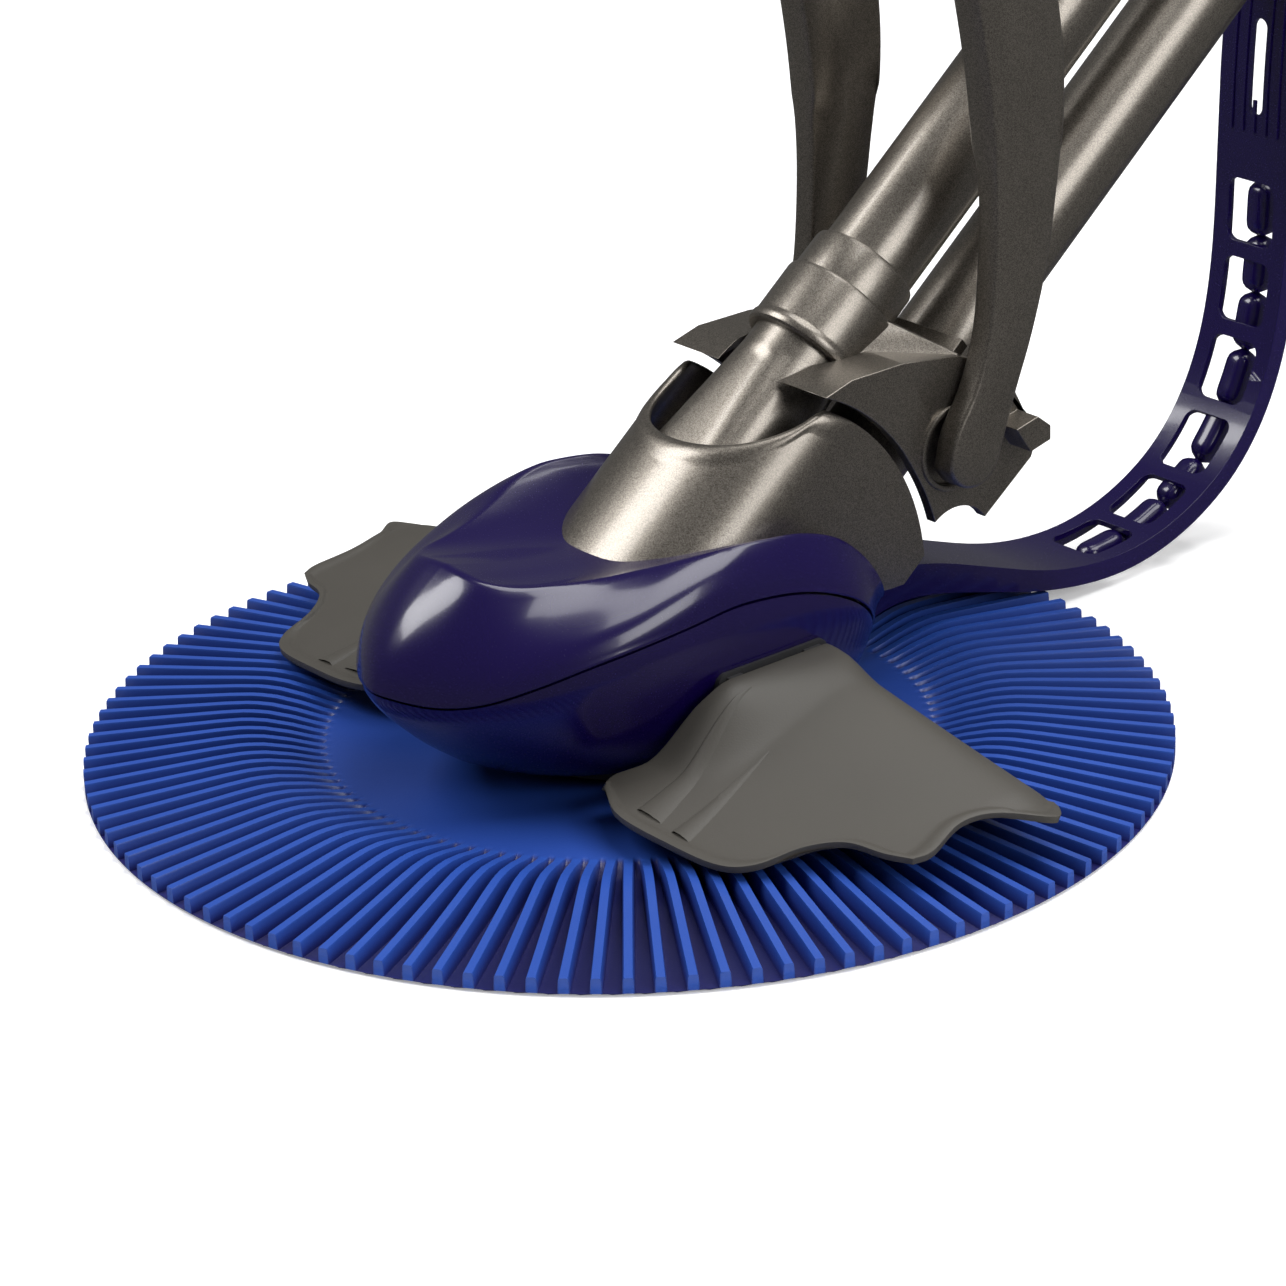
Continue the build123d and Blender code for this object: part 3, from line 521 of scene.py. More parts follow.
class PoolCleanerColours(bpy.types.PropertyGroup):
    """Light and deep tones of each finish."""

    # The seal's deep colour is painted shade for the pleats' valleys, partly also the membrane's darker tone.
    seal_blue: colour("Seal", "Ridges of the seal", (0.022, 0.080, 0.40))
    seal_blue_deep: colour("Seal, deep", "Valleys of the seal", (0.010, 0.007, 0.085))
    body_blue: colour("Body", "Head covers and strap", (0.008, 0.002, 0.062))
    body_blue_deep: colour("Body, deep", "Head covers and strap", (0.004, 0.001, 0.036))
    metallic_grey: colour("Metallic grey", "Bright flakes", (0.33, 0.30, 0.26))
    metallic_grey_deep: colour("Metallic grey, deep", "Dark flakes", (0.10, 0.088, 0.074))
    wing_grey: colour("Wing", "Wings", (0.072, 0.066, 0.056))
    wing_grey_deep: colour("Wing, deep", "Wings", (0.054, 0.050, 0.043))
    chamber_black: colour("Chamber", "Chamber and other hidden plastic", (0.035, 0.035, 0.038))
    chamber_black_deep: colour("Chamber, deep", "Chamber and other hidden plastic", (0.018, 0.018, 0.02))
    pad_rubber: colour("Pad", "Foot pad and O-rings", (0.02, 0.02, 0.02))
    pad_rubber_deep: colour("Pad, worn", "Foot pad and O-rings", (0.05, 0.05, 0.048))
    flapper_rubber: colour("Flapper", "Flapper", (0.05, 0.06, 0.12))
    flapper_rubber_deep: colour("Flapper, worn", "Flapper", (0.03, 0.035, 0.07))
    steel: colour("Steel", "Screws and pins", (0.62, 0.62, 0.60))
    steel_deep: colour("Steel, deep", "Screws and pins", (0.42, 0.42, 0.41))
    weight_iron: colour("Weight", "Nose weight", (0.10, 0.10, 0.10))
    weight_iron_deep: colour("Weight, rust", "Nose weight", (0.16, 0.07, 0.035))
    floor: colour("Floor", "Floor of the stage", (0.92, 0.92, 0.92))


def sizes():
    return bpy.context.scene.pool_cleaner_sizes


# ---------------------------------------------------------------- seal
DISC_TOP = 6.9
RIM_LOW = 1.3


def build_seal():
    """The folded seal: a smooth disc, then narrow flat-topped pleats that rise to a crest and run down."""
    pleats = sizes().pleat_count
    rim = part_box("pleated_seal")[1].x / MM
    radii = np.concatenate([[44.6, 60, 80, 100, 112, 117], np.linspace(119, 150, 16),
                            np.linspace(154, rim - 1.5, 14), [rim]])
    ridge = np.interp(radii, (119, 124, 134, 144, 152, 162, rim), (DISC_TOP, 7.6, 10.4, 12.4, 13.0, 12.4, 7.4))
    valley = np.interp(radii, (119, 123, 130, 140, 152, 170, rim), (DISC_TOP, 5.2, 3.6, 3.6, 4.2, 3.6, 1.4))
    fold = np.array([0.0, 0.0, 0.06, 0.88, 1.0, 1.0, 1.0, 0.88, 0.06, 0.0])
    # Painted shade across each pleat: 0 gives the valley floor the deep colour, 1 keeps the ridge top in the
    # seal's colour. The dark valleys are painted shade, partly also the membrane's darker tone there.
    tone = np.array([0.0, 0.0, 0.05, 0.75, 1.0, 1.0, 1.0, 0.75, 0.05, 0.0])
    points, fold_shade_tones = [], []
    for k, radius in enumerate(radii):
        pitch = 2 * pi * radius / pleats
        top, base = min(3.3, 0.62 * pitch) / pitch / 2, min(4.9, 0.78 * pitch) / pitch / 2
        phase = np.array([0.0, 0.5 - base, 0.5 - base + 0.01, 0.5 - top - 0.02, 0.5 - top + 0.01, 0.5,
                          0.5 + top - 0.01, 0.5 + top + 0.02, 0.5 + base - 0.01, 0.5 + base])
        angle = ((np.arange(pleats)[:, None] + phase[None, :] - 0.5) * 2 * pi / pleats).ravel()
        shape = np.tile(fold, pleats)
        z = valley[k] + (ridge[k] - valley[k]) * shape
        points.append(np.column_stack([radius * np.cos(angle), radius * np.sin(angle), z]))
        fold_shade_tones.append(np.tile(tone, pleats) if radius > 121 else np.full_like(shape, 0.8))
    # At the rim the pleats' ends turn down.
    edge = points[-1].copy()
    edge[:, 2] = RIM_LOW
    points.append(edge)
    fold_shade_tones.append(fold_shade_tones[-1])
    points = np.array(points)
    rows, columns = points.shape[:2]
    mesh = bpy.data.meshes.new("seal_membrane")
    mesh.from_pydata([tuple(v) for v in points.reshape(-1, 3) * MM], [],
                     grid_faces(rows, columns, close_columns=True))
    # The painted shade tones go into the mesh as the "ridge" attribute, which the seal material reads.
    fold_shade_layer = mesh.attributes.new("ridge", "FLOAT", "POINT")
    fold_shade_layer.data.foreach_set("value", np.array(fold_shade_tones, np.float32).ravel())
    if mesh.polygons[0].normal.z < 0:
        mesh.flip_normals()
    mesh.shade_smooth()
    mesh.set_sharp_from_angle(angle=radians(38.0))
    piece = bpy.data.objects.new("seal_membrane", mesh)
    bpy.context.scene.collection.objects.link(piece)
    thicken(piece, sizes().membrane)
    finish(piece, "seal_blue", "seal", "pleated_seal")


# ---------------------------------------------------------------- head
def head_side(t, z):
    """A point of the head's outline at a height, for t from 0 at the nose to 1 at the tail."""
    nose, half, tail = (lookup([(s[0], s[k]) for s in HEAD_SECTIONS], z) for k in (1, 2, 3))
    a = np.clip(t * 2, 0, 1) * pi / 2
    b = np.clip(t * 2 - 1, 0, 1) * pi / 2
    front = np.stack([half * (1 - np.cos(a)**2.6 + 1e-9)**0.66, -nose * np.cos(a)], axis=-1)
    back = np.stack([half * (1 - np.sin(b)**5 + 1e-9)**0.4, tail * np.sin(b)], axis=-1)
    return np.where((t <= 0.5)[..., None], front, back)


def parting_line(t):
    """The line where the covers meet, from the nose round one side to the tail."""
    z = np.full_like(t, 60.0)
    for _ in range(60):
        y = head_side(t, z)[:, 1]
        z = 0.5 * z + 0.5 * lookup(PARTING, y)
    return np.column_stack([head_side(t, z), z])


def both_sides(rows):
    """Closes rows that run from the nose to the tail with their mirror images."""
    other = rows[:, ::-1] * np.array([-1.0, 1.0, 1.0])
    return np.concatenate([rows, other[:, 1:-1]], axis=1)


def outward(line):
    """Unit directions out of the head along a line that runs from the nose to the tail."""
    run = np.gradient(line[:, :2], axis=0)
    out = np.stack([-run[:, 1], run[:, 0]], axis=1) * -1
    out /= np.linalg.norm(out, axis=1)[:, None] + 1e-9
    return np.column_stack([out, np.zeros(len(out))])


def build_covers():
    """The head's upper and lower covers, with a step along the line where they meet."""
    seam = sizes().seam / MM
    t = np.linspace(0, 1, 97)
    parting = parting_line(t)
    parting[0, 0] = parting[-1, 0] = 0.0
    out = outward(parting)
    crease = curve(CREASE, 400)
    run = np.concatenate([[0], np.cumsum(np.linalg.norm(np.diff(parting, axis=0), axis=1))])
    way = run / run[-1]
    crease = np.stack([np.interp(way, np.linspace(0, 1, 400), crease[:, k]) for k in range(3)], axis=1)
    crease[0, 0] = crease[-1, 0] = 0.0

    # The flank bulges out between the parting line and the crease.
    bulge = parting * 0.94 + crease * 0.06
    lift = np.interp(t, (0, 0.25, 0.5, 1), (0.50, 0.56, 0.72, 0.8))
    bulge[:, 2] = parting[:, 2] + (crease[:, 2] - parting[:, 2]) * lift
    rows = [parting + out * push + (0, 0, rise)
            for push, rise in ((-2.4, 1.2), (-0.5, 0.25), (0.25, 0.45), (0.3, 1.2))]
    for q in np.linspace(0.06, 0.97, 18):
        rows.append((1 - q)**2 * (parting + out * 0.3) + 2 * q * (1 - q) * bulge + q**2 * crease)

    # The deck runs in from the crease to the hood, and is slightly dished.
    base = curve(HOOD_BASE, 300)
    share = np.interp(way, (0, 0.12, 0.30, 0.46, 0.60, 0.72, 0.80, 1), (0, 0.15, 0.42, 0.56, 0.72, 0.90, 1, 1))
    inner = np.stack([np.interp(share, np.linspace(0, 1, 300), base[:, k]) for k in range(3)], axis=1)
    inner[:, 0] *= 0.975
    tail = smooth((way - 0.80) / 0.10)[:, None]
    inner = inner * (1 - tail) + (crease * (0.93, 0.955, 1.0) - (0, 0, 2.5)) * tail
    rim = np.linalg.norm(inner - crease, axis=1)[:, None]
    near = (inner - crease) / (rim + 1e-9)
    for d, drop in ((0.0, 0.35), (1.6, 0.1), (3.2, 0.35)):
        rows.append(crease + near * np.minimum(d, 0.3 * rim) + (0, 0, -drop))
    dish = 1.2 * smooth(rim[:, 0] / 30)
    for q in np.linspace(0.2, 1.0, 10):
        row = crease + near * rim * q
        row[:, 2] -= 0.4 + dish * np.sin(pi * min(1.0, q)) * 0.9
        rows.append(row)
    rows.append(inner - (0, 0, 3.5) - (crease - inner) * 0.02)
    upper = grid_piece("upper_cover_shell", both_sides(np.array(rows)), close_columns=True, smooth_angle=50)
    finish(upper, "body_blue", "chassis", "upper_cover")

    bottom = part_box("lower_cover")[0].z / MM
    rows = []
    foot = head_side(t, np.full_like(t, bottom))
    angles = np.arctan2(foot[:, 0], -foot[:, 1])
    rows.append(np.column_stack([52.5 * np.sin(angles), -52.5 * np.cos(angles), np.full_like(t, bottom)]))
    inset = outward(np.column_stack([foot, t * 0]))
    for back, rise in ((3.0, 0.0), (0.9, 0.9)):
        rows.append(np.column_stack([foot, np.full_like(t, bottom)]) - inset * back + (0, 0, rise))
    for q in np.linspace(0.12, 1.0, 14):
        z = bottom + (np.maximum(parting[:, 2] - seam, bottom + 2.0) - bottom) * q
        rows.append(np.column_stack([head_side(t, z), z]) - out * (0.45 if q > 0.99 else 0.0))
    rows.append(rows[-1] - out * 2.2)
    for row in rows:
        row[0, 0] = row[-1, 0] = 0.0
    lower = grid_piece("lower_cover_shell", both_sides(np.array(rows)), close_columns=True, smooth_angle=50)
    finish(lower, "body_blue", "chassis", "lower_cover")


def build_hood():
    """The hood: a round front with flat sides and a curved mouth with a rolled lip."""
    lip = sizes().hood_lip / MM
    bend = np.linspace(0, pi / 2, 40)
    x, across = hood_wall(bend)
    flat = np.linspace(HOOD_CENTRE - 2.0, -78.0, 32)
    x = np.concatenate([x, np.full_like(flat, HOOD_HALF)])
    across = np.concatenate([across, flat])
    side = np.concatenate([np.sin(bend), np.ones_like(flat)])
    face = np.concatenate([np.cos(bend), np.zeros_like(flat)])
    top = hood_mouth(across)
    base = curve(HOOD_BASE, 300)
    along = top - 40.0
    for _ in range(60):
        place = tube_point(along, across, 0)
        by_side = np.interp(x, base[:, 0], base[:, 2])
        by_length = np.interp(place[:, 1], base[:, 1], base[:, 2])
        want = np.where(across > HOOD_CENTRE, by_side, by_length) - 3.0
        along += (want - place[:, 2]) * 0.5
    along = np.minimum(along, top - 13)
    strength = smooth((across + 12) / 22)

    def row(back, out):
        return tube_point(top - back, across + face * out, x + side * out)

    rows = [tube_point(along + (top - 11.5 - along) * q, across, x) for q in np.linspace(0, 1, 14)]
    for back, out in ((11.0, 0.0), (8.5, 0.5), (6.0, 0.9), (3.4, 0.8), (1.5, 0.2), (0.4, -0.9)):
        rows.append(row(back, lip * strength * out))
    for back, out in ((0.0, -1.4), (0.3, -2.2), (1.4, -2.8), (4.0, -3.0), (14.0, -3.0)):
        rows.append(row(back, out))
    rows.append(tube_point(np.minimum(along + 1, top - 15), across - face * 3.0, x - side * 3.0))
    rows = np.array(rows)
    other = rows[:, :0:-1] * np.array([-1.0, 1.0, 1.0])
    points = np.concatenate([other, rows], axis=1)
    hood = grid_piece("hood_shell", points, close_rows=True, smooth_angle=48)
    finish(hood, "metallic_grey", "chassis", "throat_hood")


# ---------------------------------------------------------------- neck, collar and bracket
def build_neck():
    """The neck is a cone cut by flat faces, and the collar has two stepped rings."""
    along = np.linspace(-114.5, -40, 46)
    angle = np.linspace(0, 2 * pi, 144, endpoint=False)
    rows = []
    for s in along:
        grow = max(0.0, -62.0 - s)
        cone = 21.2 + 0.115 * grow
        front = (21.4 + 0.03 * grow) / np.maximum(np.abs(np.cos(angle)), 1e-3)
        side = (21.6 + 0.10 * grow) / np.maximum(np.abs(np.sin(angle)), 1e-3)
        cut = (cone**-14.0 + front**-14.0 + side**-14.0)**(-1 / 14.0)
        radius = cone + (cut - cone) * smooth(grow / 6)
        rows.append(tube_point(s, radius * np.cos(angle), radius * np.sin(angle)))
    neck = grid_piece("neck_body", np.array(rows), close_columns=True, caps=True, smooth_angle=40)
    finish(neck, "metallic_grey", "chassis", "throat_neck")

    profile = ((-53, 21.0), (-53, 24.2), (-52.2, 25.2), (-50.6, 25.6), (-49.0, 25.3), (-47.8, 24.7),
               (-47.0, 24.6), (-26, 24.5), (-24.8, 24.2), (-24.2, 23.4), (-24.0, 22.9), (-9, 22.7),
               (-7.7, 22.3), (-7.1, 21.5), (-7.0, 20.1))
    angle = np.linspace(0, 2 * pi, 96, endpoint=False)
    rows = np.array([tube_point(s, r * np.cos(angle), r * np.sin(angle)) for s, r in profile])
    collar = grid_piece("collar_rings", rows, close_columns=True, smooth_angle=32)
    finish(collar, "metallic_grey", "chassis", "tube_collar")


def build_bracket():
    """The bracket that holds the handle, with the gussets that tie it to the collar."""
    bracket = rounded_copy("bracket_body", "tube_bracket", sizes().edge_round)
    finish(bracket, "metallic_grey", "chassis", "tube_bracket")
    for name, side in (("left_gusset", 1), ("right_gusset", -1)):
        corners = ((20, 121, 152.5), (21, 95, 143.0), (45, 139, 139.0), (20, 140, 139.0), (20, 95, 138.5),
                   (45, 132, 137.0))
        points = [(side * a, b, c) for a, b, c in corners]
        faces = [(0, 1, 2), (0, 2, 3), (0, 3, 4, 1), (1, 4, 5, 2), (2, 5, 4, 3)]
        gusset = new_piece(name, points, faces)
        soften(gusset, sizes().edge_round)
        finish(gusset, "metallic_grey", "chassis")
        ring_angle = np.linspace(0, 2 * pi, 72, endpoint=False)
        rows = []
        for r, x in ((15.6, 44.2), (15.6, 46.0), (16.1, 46.9), (17.0, 47.2), (17.9, 46.9), (18.4, 45.6)):
            rows.append(np.column_stack([np.full_like(ring_angle, side * x), HUB[0] + r * np.cos(ring_angle),
                                         HUB[1] + r * np.sin(ring_angle)]))
        rim = grid_piece(name.replace("gusset", "hub_rim"), np.array(rows), close_columns=True)
        finish(rim, "metallic_grey", "chassis")


# ---------------------------------------------------------------- handle
def build_handle():
    """Two arms on the bracket's pivots and the grip between them."""
    front = curve(ARM_FRONT, 46)
    rear = curve(ARM_REAR, 46)
    top = curve((ARM_FRONT[-1], (124.5, 336), (131, 343.5), (141, 346), ARM_REAR[0]), 12)[1:-1]
    start = atan2(ARM_REAR[-1][1] - HUB[1], ARM_REAR[-1][0] - HUB[0])
    stop = atan2(ARM_FRONT[0][1] - HUB[1], ARM_FRONT[0][0] - HUB[0])
    sweep_angle = np.linspace(start, -2 * pi + stop if stop > start else stop, 16)[1:-1]
    hub = np.column_stack([HUB[0] + 13.9 * np.cos(sweep_angle), HUB[1] + 13.9 * np.sin(sweep_angle)])
    loop = np.vstack([front, top, rear, hub])

    def inner(points):
        return np.interp(points[:, 1], (100, 200, 216, 224, 340), (48.0, 48.0, 47.4, 45.2, 45.0))

    def outer(points):
        return np.interp(points[:, 1], (95, 140, 216, 224, 340), (58.6, 59.0, 59.2, 60.0, 60.0))

    left = plate("left_arm_body", loop, inner, outer, 1.5)
    right = mirrored("right_arm_body", left)
    finish(left, "metallic_grey", "handle", "left_arm")
    finish(right, "metallic_grey", "handle", "right_arm")

    x = np.linspace(-46.0, 46.0, 61)
    centres = np.column_stack([x, np.full_like(x, GRIP[0]), np.full_like(x, GRIP[1])])
    lean = radians(65)
    along, over = np.array([0, cos(lean), sin(lean)]), np.array([0, -sin(lean), cos(lean)])
    ring = np.linspace(0, 2 * pi, 48, endpoint=False)

    def section(q):
        finger = 0.55 * np.cos(q * 8 * pi) * smooth(1 - abs(2 * q - 1) * 1.15)
        swell = 0.90 + 0.09 * smooth(1 - abs(2 * q - 1))
        under = np.where(np.sin(ring) < 0, finger, 0.0)
        return np.column_stack([15.4 * swell * np.cos(ring), (10.6 * swell + under) * np.sin(ring)])

    grip = sweep("grip_body", centres, [along] * len(x), [over] * len(x), section)
    finish(grip, "metallic_grey", "handle", "handle_grip")


# ---------------------------------------------------------------- wings
def wing_height(x, y):
    """Height of the wing's upper face: an arch that flattens towards the tip."""
    crest = lookup([(p[0], p[1]) for p in WING_CREST], y) + 1.5
    reach = np.clip((x - 84) / 108, 0, 1)
    arch = 17.0 - 5.0 * reach + (crest - 17.0) * (1 - 0.53 * reach)
    tip = 4.0 * smooth((x - 182) / 24) * smooth((y + 20) / 40)
    hinge = smooth((102 - x) / 26) * smooth((y + 46) / 38) * smooth((48 - y) / 9)
    return (arch - tip) * (1 - hinge) + np.maximum(crest, 53.5) * hinge


def wing_patch(rows, columns):
    """A grid over the wing in plan, from its rear edge to its front edge."""
    rear, fore = curve(WING_REAR, columns), curve(WING_FRONT, columns)
    inner, outer = curve(WING_INNER, rows), curve(WING_OUTER, rows)
    v = np.linspace(0, 1, rows)[:, None, None]
    u = np.linspace(0, 1, columns)[None, :, None]
    corners = (1 - v) * (1 - u) * rear[0] + (1 - v) * u * rear[-1] + v * (1 - u) * fore[0] + v * u * fore[-1]
    return (1 - v) * rear[None] + v * fore[None] + (1 - u) * inner[:, None] + u * outer[:, None] - corners


def build_wings():
    """The wings: a bent sheet with a raised lip, two long ribs and hinge knuckles."""
    lip = sizes().wing_lip / MM
    rows, columns = 72, 84
    plan = wing_patch(rows, columns)
    z = wing_height(plan[..., 0], plan[..., 1])
    v = np.linspace(0, 1, rows)[:, None]
    u = np.linspace(0, 1, columns)[None, :]
    raised = np.maximum(smooth((v - 0.935) / 0.04), smooth((u - 0.95) / 0.03))
    z = z + lip * raised
    left = grid_piece("left_wing_sheet", np.dstack([plan, z]), smooth_angle=60)
    if left.data.polygons[0].normal.z < 0:
        left.data.flip_normals()
    thicken(left, sizes().wing_wall)
    soften(left, 0.0007, 2, 40)

    ribs = []
    for name, start, end, width in (("rib_long", (82, -6), (92, -66), 13.0),
                                    ("rib_short", (103, -16), (111, -67), 9.0)):
        q = np.linspace(0, 1, 26)
        line = np.outer(1 - q, start) + np.outer(q, end)
        wide = 0.8 + width * q**1.1
        high = 0.3 + 0.9 * q
        cross = []
        for offset, rise in ((-0.56, -0.5), (-0.46, 0.3), (-0.34, 0.92), (0.0, 1.0), (0.42, 0.5),
                             (0.62, -0.5)):
            x = line[:, 0] + offset * wide
            cross.append(np.column_stack([x, line[:, 1], wing_height(x, line[:, 1]) + rise * high]))
        rib = grid_piece("left_" + name, np.array(cross).transpose(1, 0, 2), smooth_angle=35)
        ribs.append((name, rib))
    hinge = Vector((77.0, 0.0, 49.0))
    ring = np.linspace(0, 2 * pi, 32, endpoint=False)
    rows = [np.column_stack([hinge.x + r * np.cos(ring), np.full_like(ring, y), hinge.z + r * np.sin(ring)])
            for y, r in ((-1.2, 1.8), (-1.2, 3.6), (-0.6, 4.2), (25.8, 4.2), (26.4, 3.6), (26.4, 1.8))]
    ribs.append(("hinge_knuckle", grid_piece("left_hinge_knuckle", np.array(rows), close_columns=True)))
    right = mirrored("right_wing_sheet", left)
    finish(left, "wing_grey", "left_wing", "left_wing")
    finish(right, "wing_grey", "right_wing", "right_wing")
    for name, piece in ribs:
        other = mirrored("right_" + name, piece)
        finish(piece, "wing_grey", "left_wing")
        finish(other, "wing_grey", "right_wing")


# ---------------------------------------------------------------- strap
def strap_frame_at(share):
    """A point on the strap's inner edge, and the direction out from it."""
    line = curve(STRAP_LINE, 600)
    at = np.clip(share, 0, 1) * 599
    point = np.column_stack([np.interp(at, np.arange(600), line[:, k]) for k in range(2)])
    step = np.gradient(line, axis=0)
    step /= np.linalg.norm(step, axis=1)[:, None]
    run = np.column_stack([np.interp(at, np.arange(600), step[:, k]) for k in range(2)])
    return point, np.column_stack([run[:, 1], -run[:, 0]])


def build_strap():
    """The bumper strap: rails joined by bars, a ribbed panel near the top and a row of beads."""
    band = rounded_copy("strap_ladder", "strap_frame", sizes().edge_round)
    finish(band, "body_blue", "chassis", "strap_frame")

    radius = sizes().bead_radius / MM
    pitch, count, first = 24.5, 9, 0.315
    line = curve(STRAP_LINE, 600)
    whole = np.sum(np.linalg.norm(np.diff(line, axis=0), axis=1))
    per = 15
    share = first + (np.arange(count * per + 1) / per - 0.5) * pitch / whole
    point, out = strap_frame_at(share)
    centre = point + out * 7.9
    centres = np.column_stack([np.zeros(len(centre)), centre])
    outs = np.column_stack([np.zeros(len(out)), out])
    ring = np.linspace(0, 2 * pi, 28, endpoint=False)

    def section(q):
        place = abs((q * count) % 1.0 - 0.5) * 2
        r = 1.5 + (radius - 1.5) * max(0.0, 1 - (place / 0.93)**6)**0.5
        return np.column_stack([np.sign(np.cos(ring)) * np.abs(np.cos(ring))**0.8, np.sign(np.sin(ring))
                                * np.abs(np.sin(ring))**0.8]) * r

    sideways = [np.array([1.0, 0, 0])] * len(centres)
    beads = sweep("strap_beads", centres, sideways, outs, section, smooth_angle=50)
    finish(beads, "body_blue", "chassis", "strap_links")

    for k, x in enumerate((-13.0, -6.5, 0.0, 6.5, 13.0)):
        share = np.linspace(0.835, 0.985, 24)
        point, out = strap_frame_at(share)
        centres = np.column_stack([np.full(24, x), point + out * 0.1])
        outs = np.column_stack([np.zeros(24), out])
        if abs(x) < 1:
            centres = centres[:6]
            outs = outs[:6]

        def rib(q):
            return np.array([(-0.9, 0.3), (-0.7, -0.9), (0.7, -0.9), (0.9, 0.3)])

        piece = sweep(f"strap_rib_{k + 1}", centres, [np.array([1.0, 0, 0])] * len(centres), outs, rib)
        finish(piece, "body_blue", "chassis")


# ---------------------------------------------------------------- the rest
def build_top():
    """The manifold over the tubes and the hose swivel, with softened edges."""
    for name, node, slot, body in (("manifold_body", "top_manifold", "metallic_grey", "chassis"),
                                   ("swivel_body", "hose_swivel", "chamber_black", "swivel")):
        finish(rounded_copy(name, node, sizes().edge_round), slot, body, node)


def finish_plain():
    """Gives every engineering part that is still shown its procedural material."""
    slots = {part["node"]: part["material_slot"] for part in frame["record"]["subparts"]}
    for name, node in frame["nodes"].items():
        if node.hide_render:
            continue
        made = material(slots[name])
        if not node.material_slots:
            node.data.materials.append(made)
        for holder in node.material_slots:
            holder.link = "OBJECT"
            holder.material = made


# The camera's place and how far it is from the middle of the view, in metres.
CAMERA_PLACE = Vector((1.2124, -0.9731, 0.7122))
CAMERA_REACH = 1.45
# Each light's name, place in metres, power in watts and size in metres.
LIGHTS = (("key", (-1.1, -1.0, 1.8), 34.0, 1.1), ("top", (0.3, 0.8, 2.1), 46.0, 1.7),
          ("side", (2.0, 0.3, 1.2), 20.0, 1.1))


def build_stage():
    """A plain pale floor, soft lights and the camera."""
    colours = bpy.context.scene.pool_cleaner_colours
    g = Graph("stage_floor")
    pale = g.mix(g.noise(3.0, 2.0), rgba(colours.floor), rgba(colours.floor, 0.985))
    g.shade(Base_Color=pale, Roughness=0.7, Specular_IOR_Level=0.1, Emission_Color=(1.0, 1.0, 1.0, 1.0),
            Emission_Strength=0.3)
    mesh = bpy.data.meshes.new("floor")
    mesh.from_pydata([(-6, -6, 0), (6, -6, 0), (6, 6, 0), (-6, 6, 0)], [], [(0, 1, 2, 3)])
    mesh.materials.append(g.material)
    floor = bpy.data.objects.new("floor", mesh)
    bpy.context.scene.collection.objects.link(floor)
    floor.visible_glossy = False

    world = bpy.data.worlds.new("Studio")
    world.use_nodes = True
    world.node_tree.nodes["Background"].inputs["Color"].default_value = (1.0, 1.0, 1.0, 1.0)
    world.node_tree.nodes["Background"].inputs["Strength"].default_value = 0.11
    bpy.context.scene.world = world

    target = Vector((0.0, 0.03, 0.06))
    for name, place, power, size in LIGHTS:
        light = bpy.data.lights.new(name, "AREA")
        light.energy = power
        light.size = size
        lamp = bpy.data.objects.new(name, light)
        lamp.location = place
        lamp.rotation_euler = (Vector(place) - target).to_track_quat("Z", "Y").to_euler()
        bpy.context.scene.collection.objects.link(lamp)

    bpy.context.scene.view_settings.view_transform = "Standard"
    s = sizes()
    view = bpy.data.cameras.new("camera")
    view.lens = s.camera_lens
    view.sensor_width = 36.0
    camera = bpy.data.objects.new("camera", view)
    turned = (Matrix.Rotation(s.camera_azimuth, 4, "Z") @ Matrix.Rotation(pi / 2 - s.camera_elevation, 4, "X")
              @ Matrix.Rotation(s.camera_roll, 4, "Z"))
    back = turned.col[2].to_3d()
    middle = CAMERA_PLACE - back * CAMERA_REACH
    camera.matrix_world = Matrix.Translation(middle + back * s.camera_distance) @ turned
    bpy.context.scene.collection.objects.link(camera)
    bpy.context.scene.camera = camera


# ---------------------------------------------------------------- operators
class PieceOperator:
    """Runs one build step, and stops with an error if it can't finish."""

    bl_options = {"REGISTER", "UNDO"}
    step = None
    makes_objects = True

    def execute(self, context):
        before = len(bpy.data.objects)
        type(self).step()
        if len(bpy.data.objects) == before and self.makes_objects:
            raise RuntimeError(f"{self.bl_label} made nothing")
        return {"FINISHED"}


class POOLCLEANER_OT_stage(PieceOperator, bpy.types.Operator):
    """Make the floor, the lights and the camera"""

    bl_idname = "pool_cleaner.stage"
    bl_label = "Stage"
    step = staticmethod(build_stage)


class POOLCLEANER_OT_seal(PieceOperator, bpy.types.Operator):
    """Make the folded seal that turns on the foot"""

    bl_idname = "pool_cleaner.seal"
    bl_label = "Pleated seal"
    step = staticmethod(build_seal)


class POOLCLEANER_OT_covers(PieceOperator, bpy.types.Operator):
    """Make the head's two covers"""

    bl_idname = "pool_cleaner.covers"
    bl_label = "Head covers"
    step = staticmethod(build_covers)


class POOLCLEANER_OT_hood(PieceOperator, bpy.types.Operator):
    """Make the hood round the neck"""

    bl_idname = "pool_cleaner.hood"
    bl_label = "Hood"
    step = staticmethod(build_hood)


class POOLCLEANER_OT_neck(PieceOperator, bpy.types.Operator):
    """Make the neck and the collar of the front tube"""

    bl_idname = "pool_cleaner.neck"
    bl_label = "Neck and collar"
    step = staticmethod(build_neck)


class POOLCLEANER_OT_bracket(PieceOperator, bpy.types.Operator):
    """Make the bracket that carries the handle"""

    bl_idname = "pool_cleaner.bracket"
    bl_label = "Bracket"
    step = staticmethod(build_bracket)


class POOLCLEANER_OT_handle(PieceOperator, bpy.types.Operator):
    """Make the carrying handle's arms and grip"""

    bl_idname = "pool_cleaner.handle"
    bl_label = "Handle"
    step = staticmethod(build_handle)


class POOLCLEANER_OT_wings(PieceOperator, bpy.types.Operator):
    """Make the two wings"""

    bl_idname = "pool_cleaner.wings"
    bl_label = "Wings"
    step = staticmethod(build_wings)


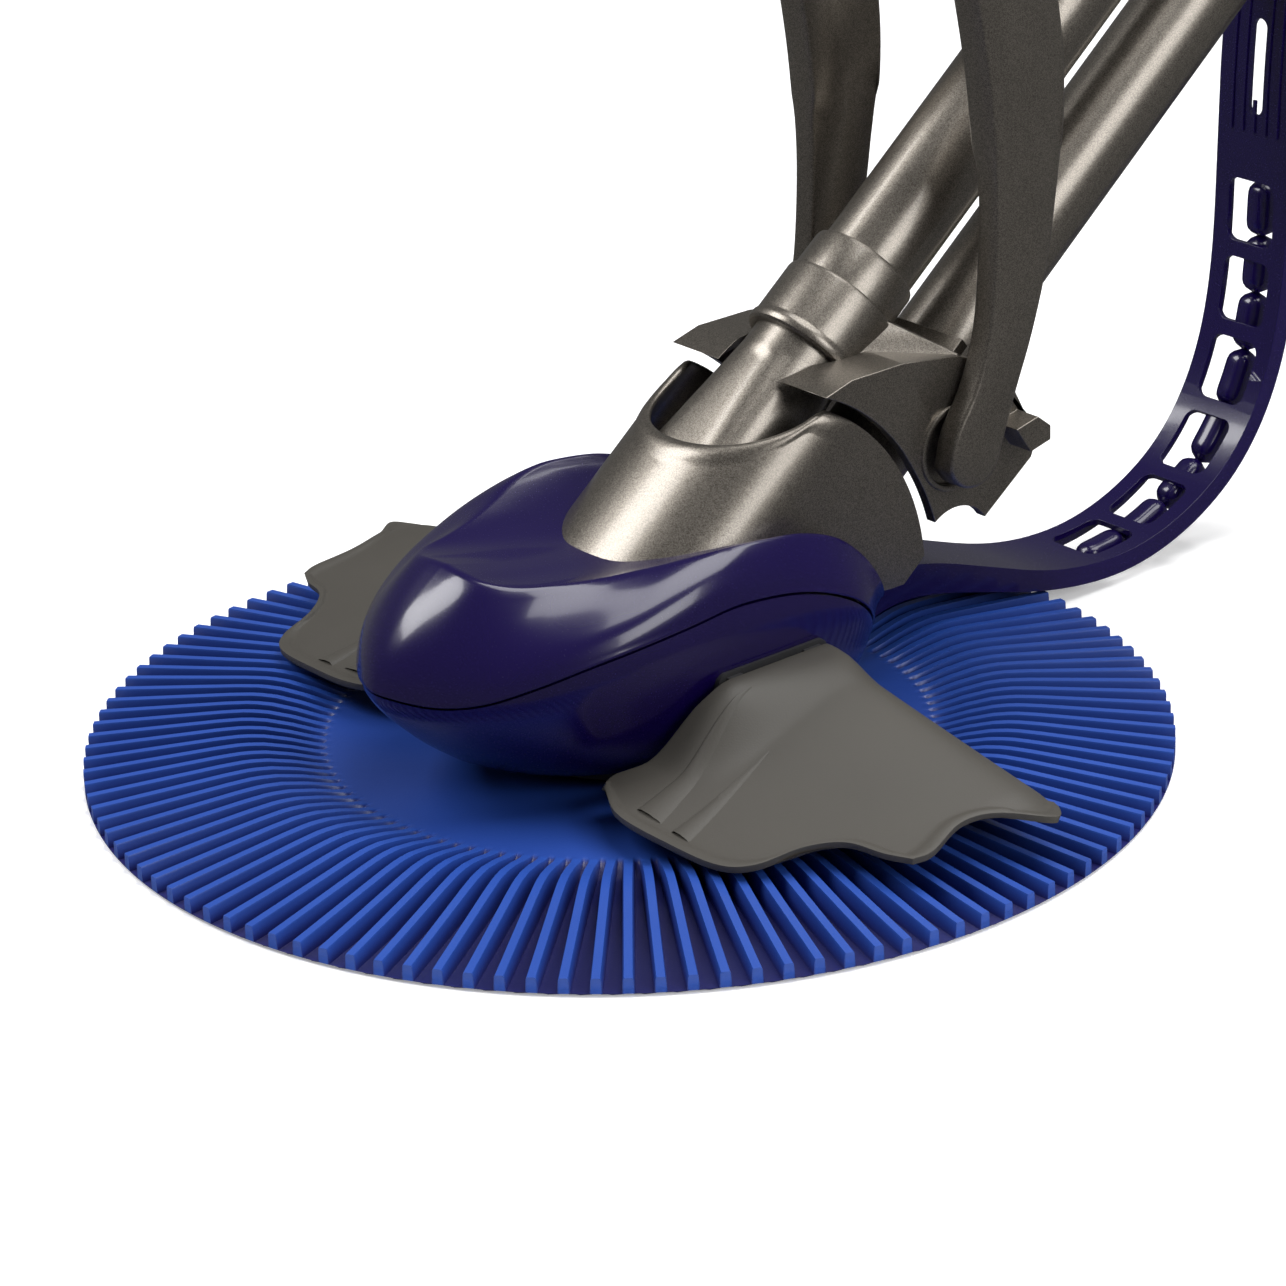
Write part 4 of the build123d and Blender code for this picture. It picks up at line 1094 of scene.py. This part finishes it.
class POOLCLEANER_OT_strap(PieceOperator, bpy.types.Operator):
    """Make the bumper strap with its beads"""

    bl_idname = "pool_cleaner.strap"
    bl_label = "Bumper strap"
    step = staticmethod(build_strap)


class POOLCLEANER_OT_top(PieceOperator, bpy.types.Operator):
    """Make the manifold and the hose swivel"""

    bl_idname = "pool_cleaner.top"
    bl_label = "Manifold and swivel"
    step = staticmethod(build_top)


class POOLCLEANER_OT_finishes(PieceOperator, bpy.types.Operator):
    """Give the engineering parts that stay in view their materials"""

    bl_idname = "pool_cleaner.finishes"
    bl_label = "Finishes"
    step = staticmethod(finish_plain)
    makes_objects = False


OPERATORS = (POOLCLEANER_OT_stage, POOLCLEANER_OT_seal, POOLCLEANER_OT_covers, POOLCLEANER_OT_hood,
             POOLCLEANER_OT_neck, POOLCLEANER_OT_bracket, POOLCLEANER_OT_handle, POOLCLEANER_OT_wings,
             POOLCLEANER_OT_strap, POOLCLEANER_OT_top, POOLCLEANER_OT_finishes)


class POOLCLEANER_PT_panel(bpy.types.Panel):
    """Build steps and settings of the pool cleaner"""

    bl_idname = "POOLCLEANER_PT_panel"
    bl_label = "Pool cleaner"
    bl_space_type = "VIEW_3D"
    bl_region_type = "UI"
    bl_category = "Pool cleaner"

    def draw(self, context):
        for group in (context.scene.pool_cleaner_sizes, context.scene.pool_cleaner_colours):
            box = self.layout.box()
            for key in type(group).__annotations__:
                box.prop(group, key)
        for operator in OPERATORS:
            self.layout.operator(operator.bl_idname)


CLASSES = (PoolCleanerSizes, PoolCleanerColours, *OPERATORS, POOLCLEANER_PT_panel)


def register():
    for cls in CLASSES:
        bpy.utils.register_class(cls)
    bpy.types.Scene.pool_cleaner_sizes = bpy.props.PointerProperty(type=PoolCleanerSizes)
    bpy.types.Scene.pool_cleaner_colours = bpy.props.PointerProperty(type=PoolCleanerColours)


def unregister():
    del bpy.types.Scene.pool_cleaner_colours
    del bpy.types.Scene.pool_cleaner_sizes
    for cls in reversed(CLASSES):
        bpy.utils.unregister_class(cls)


def main():
    register()
    for operator in OPERATORS:
        group, name = operator.bl_idname.split(".")
        getattr(getattr(bpy.ops, group), name)()


if __name__ == "__main__":
    main()
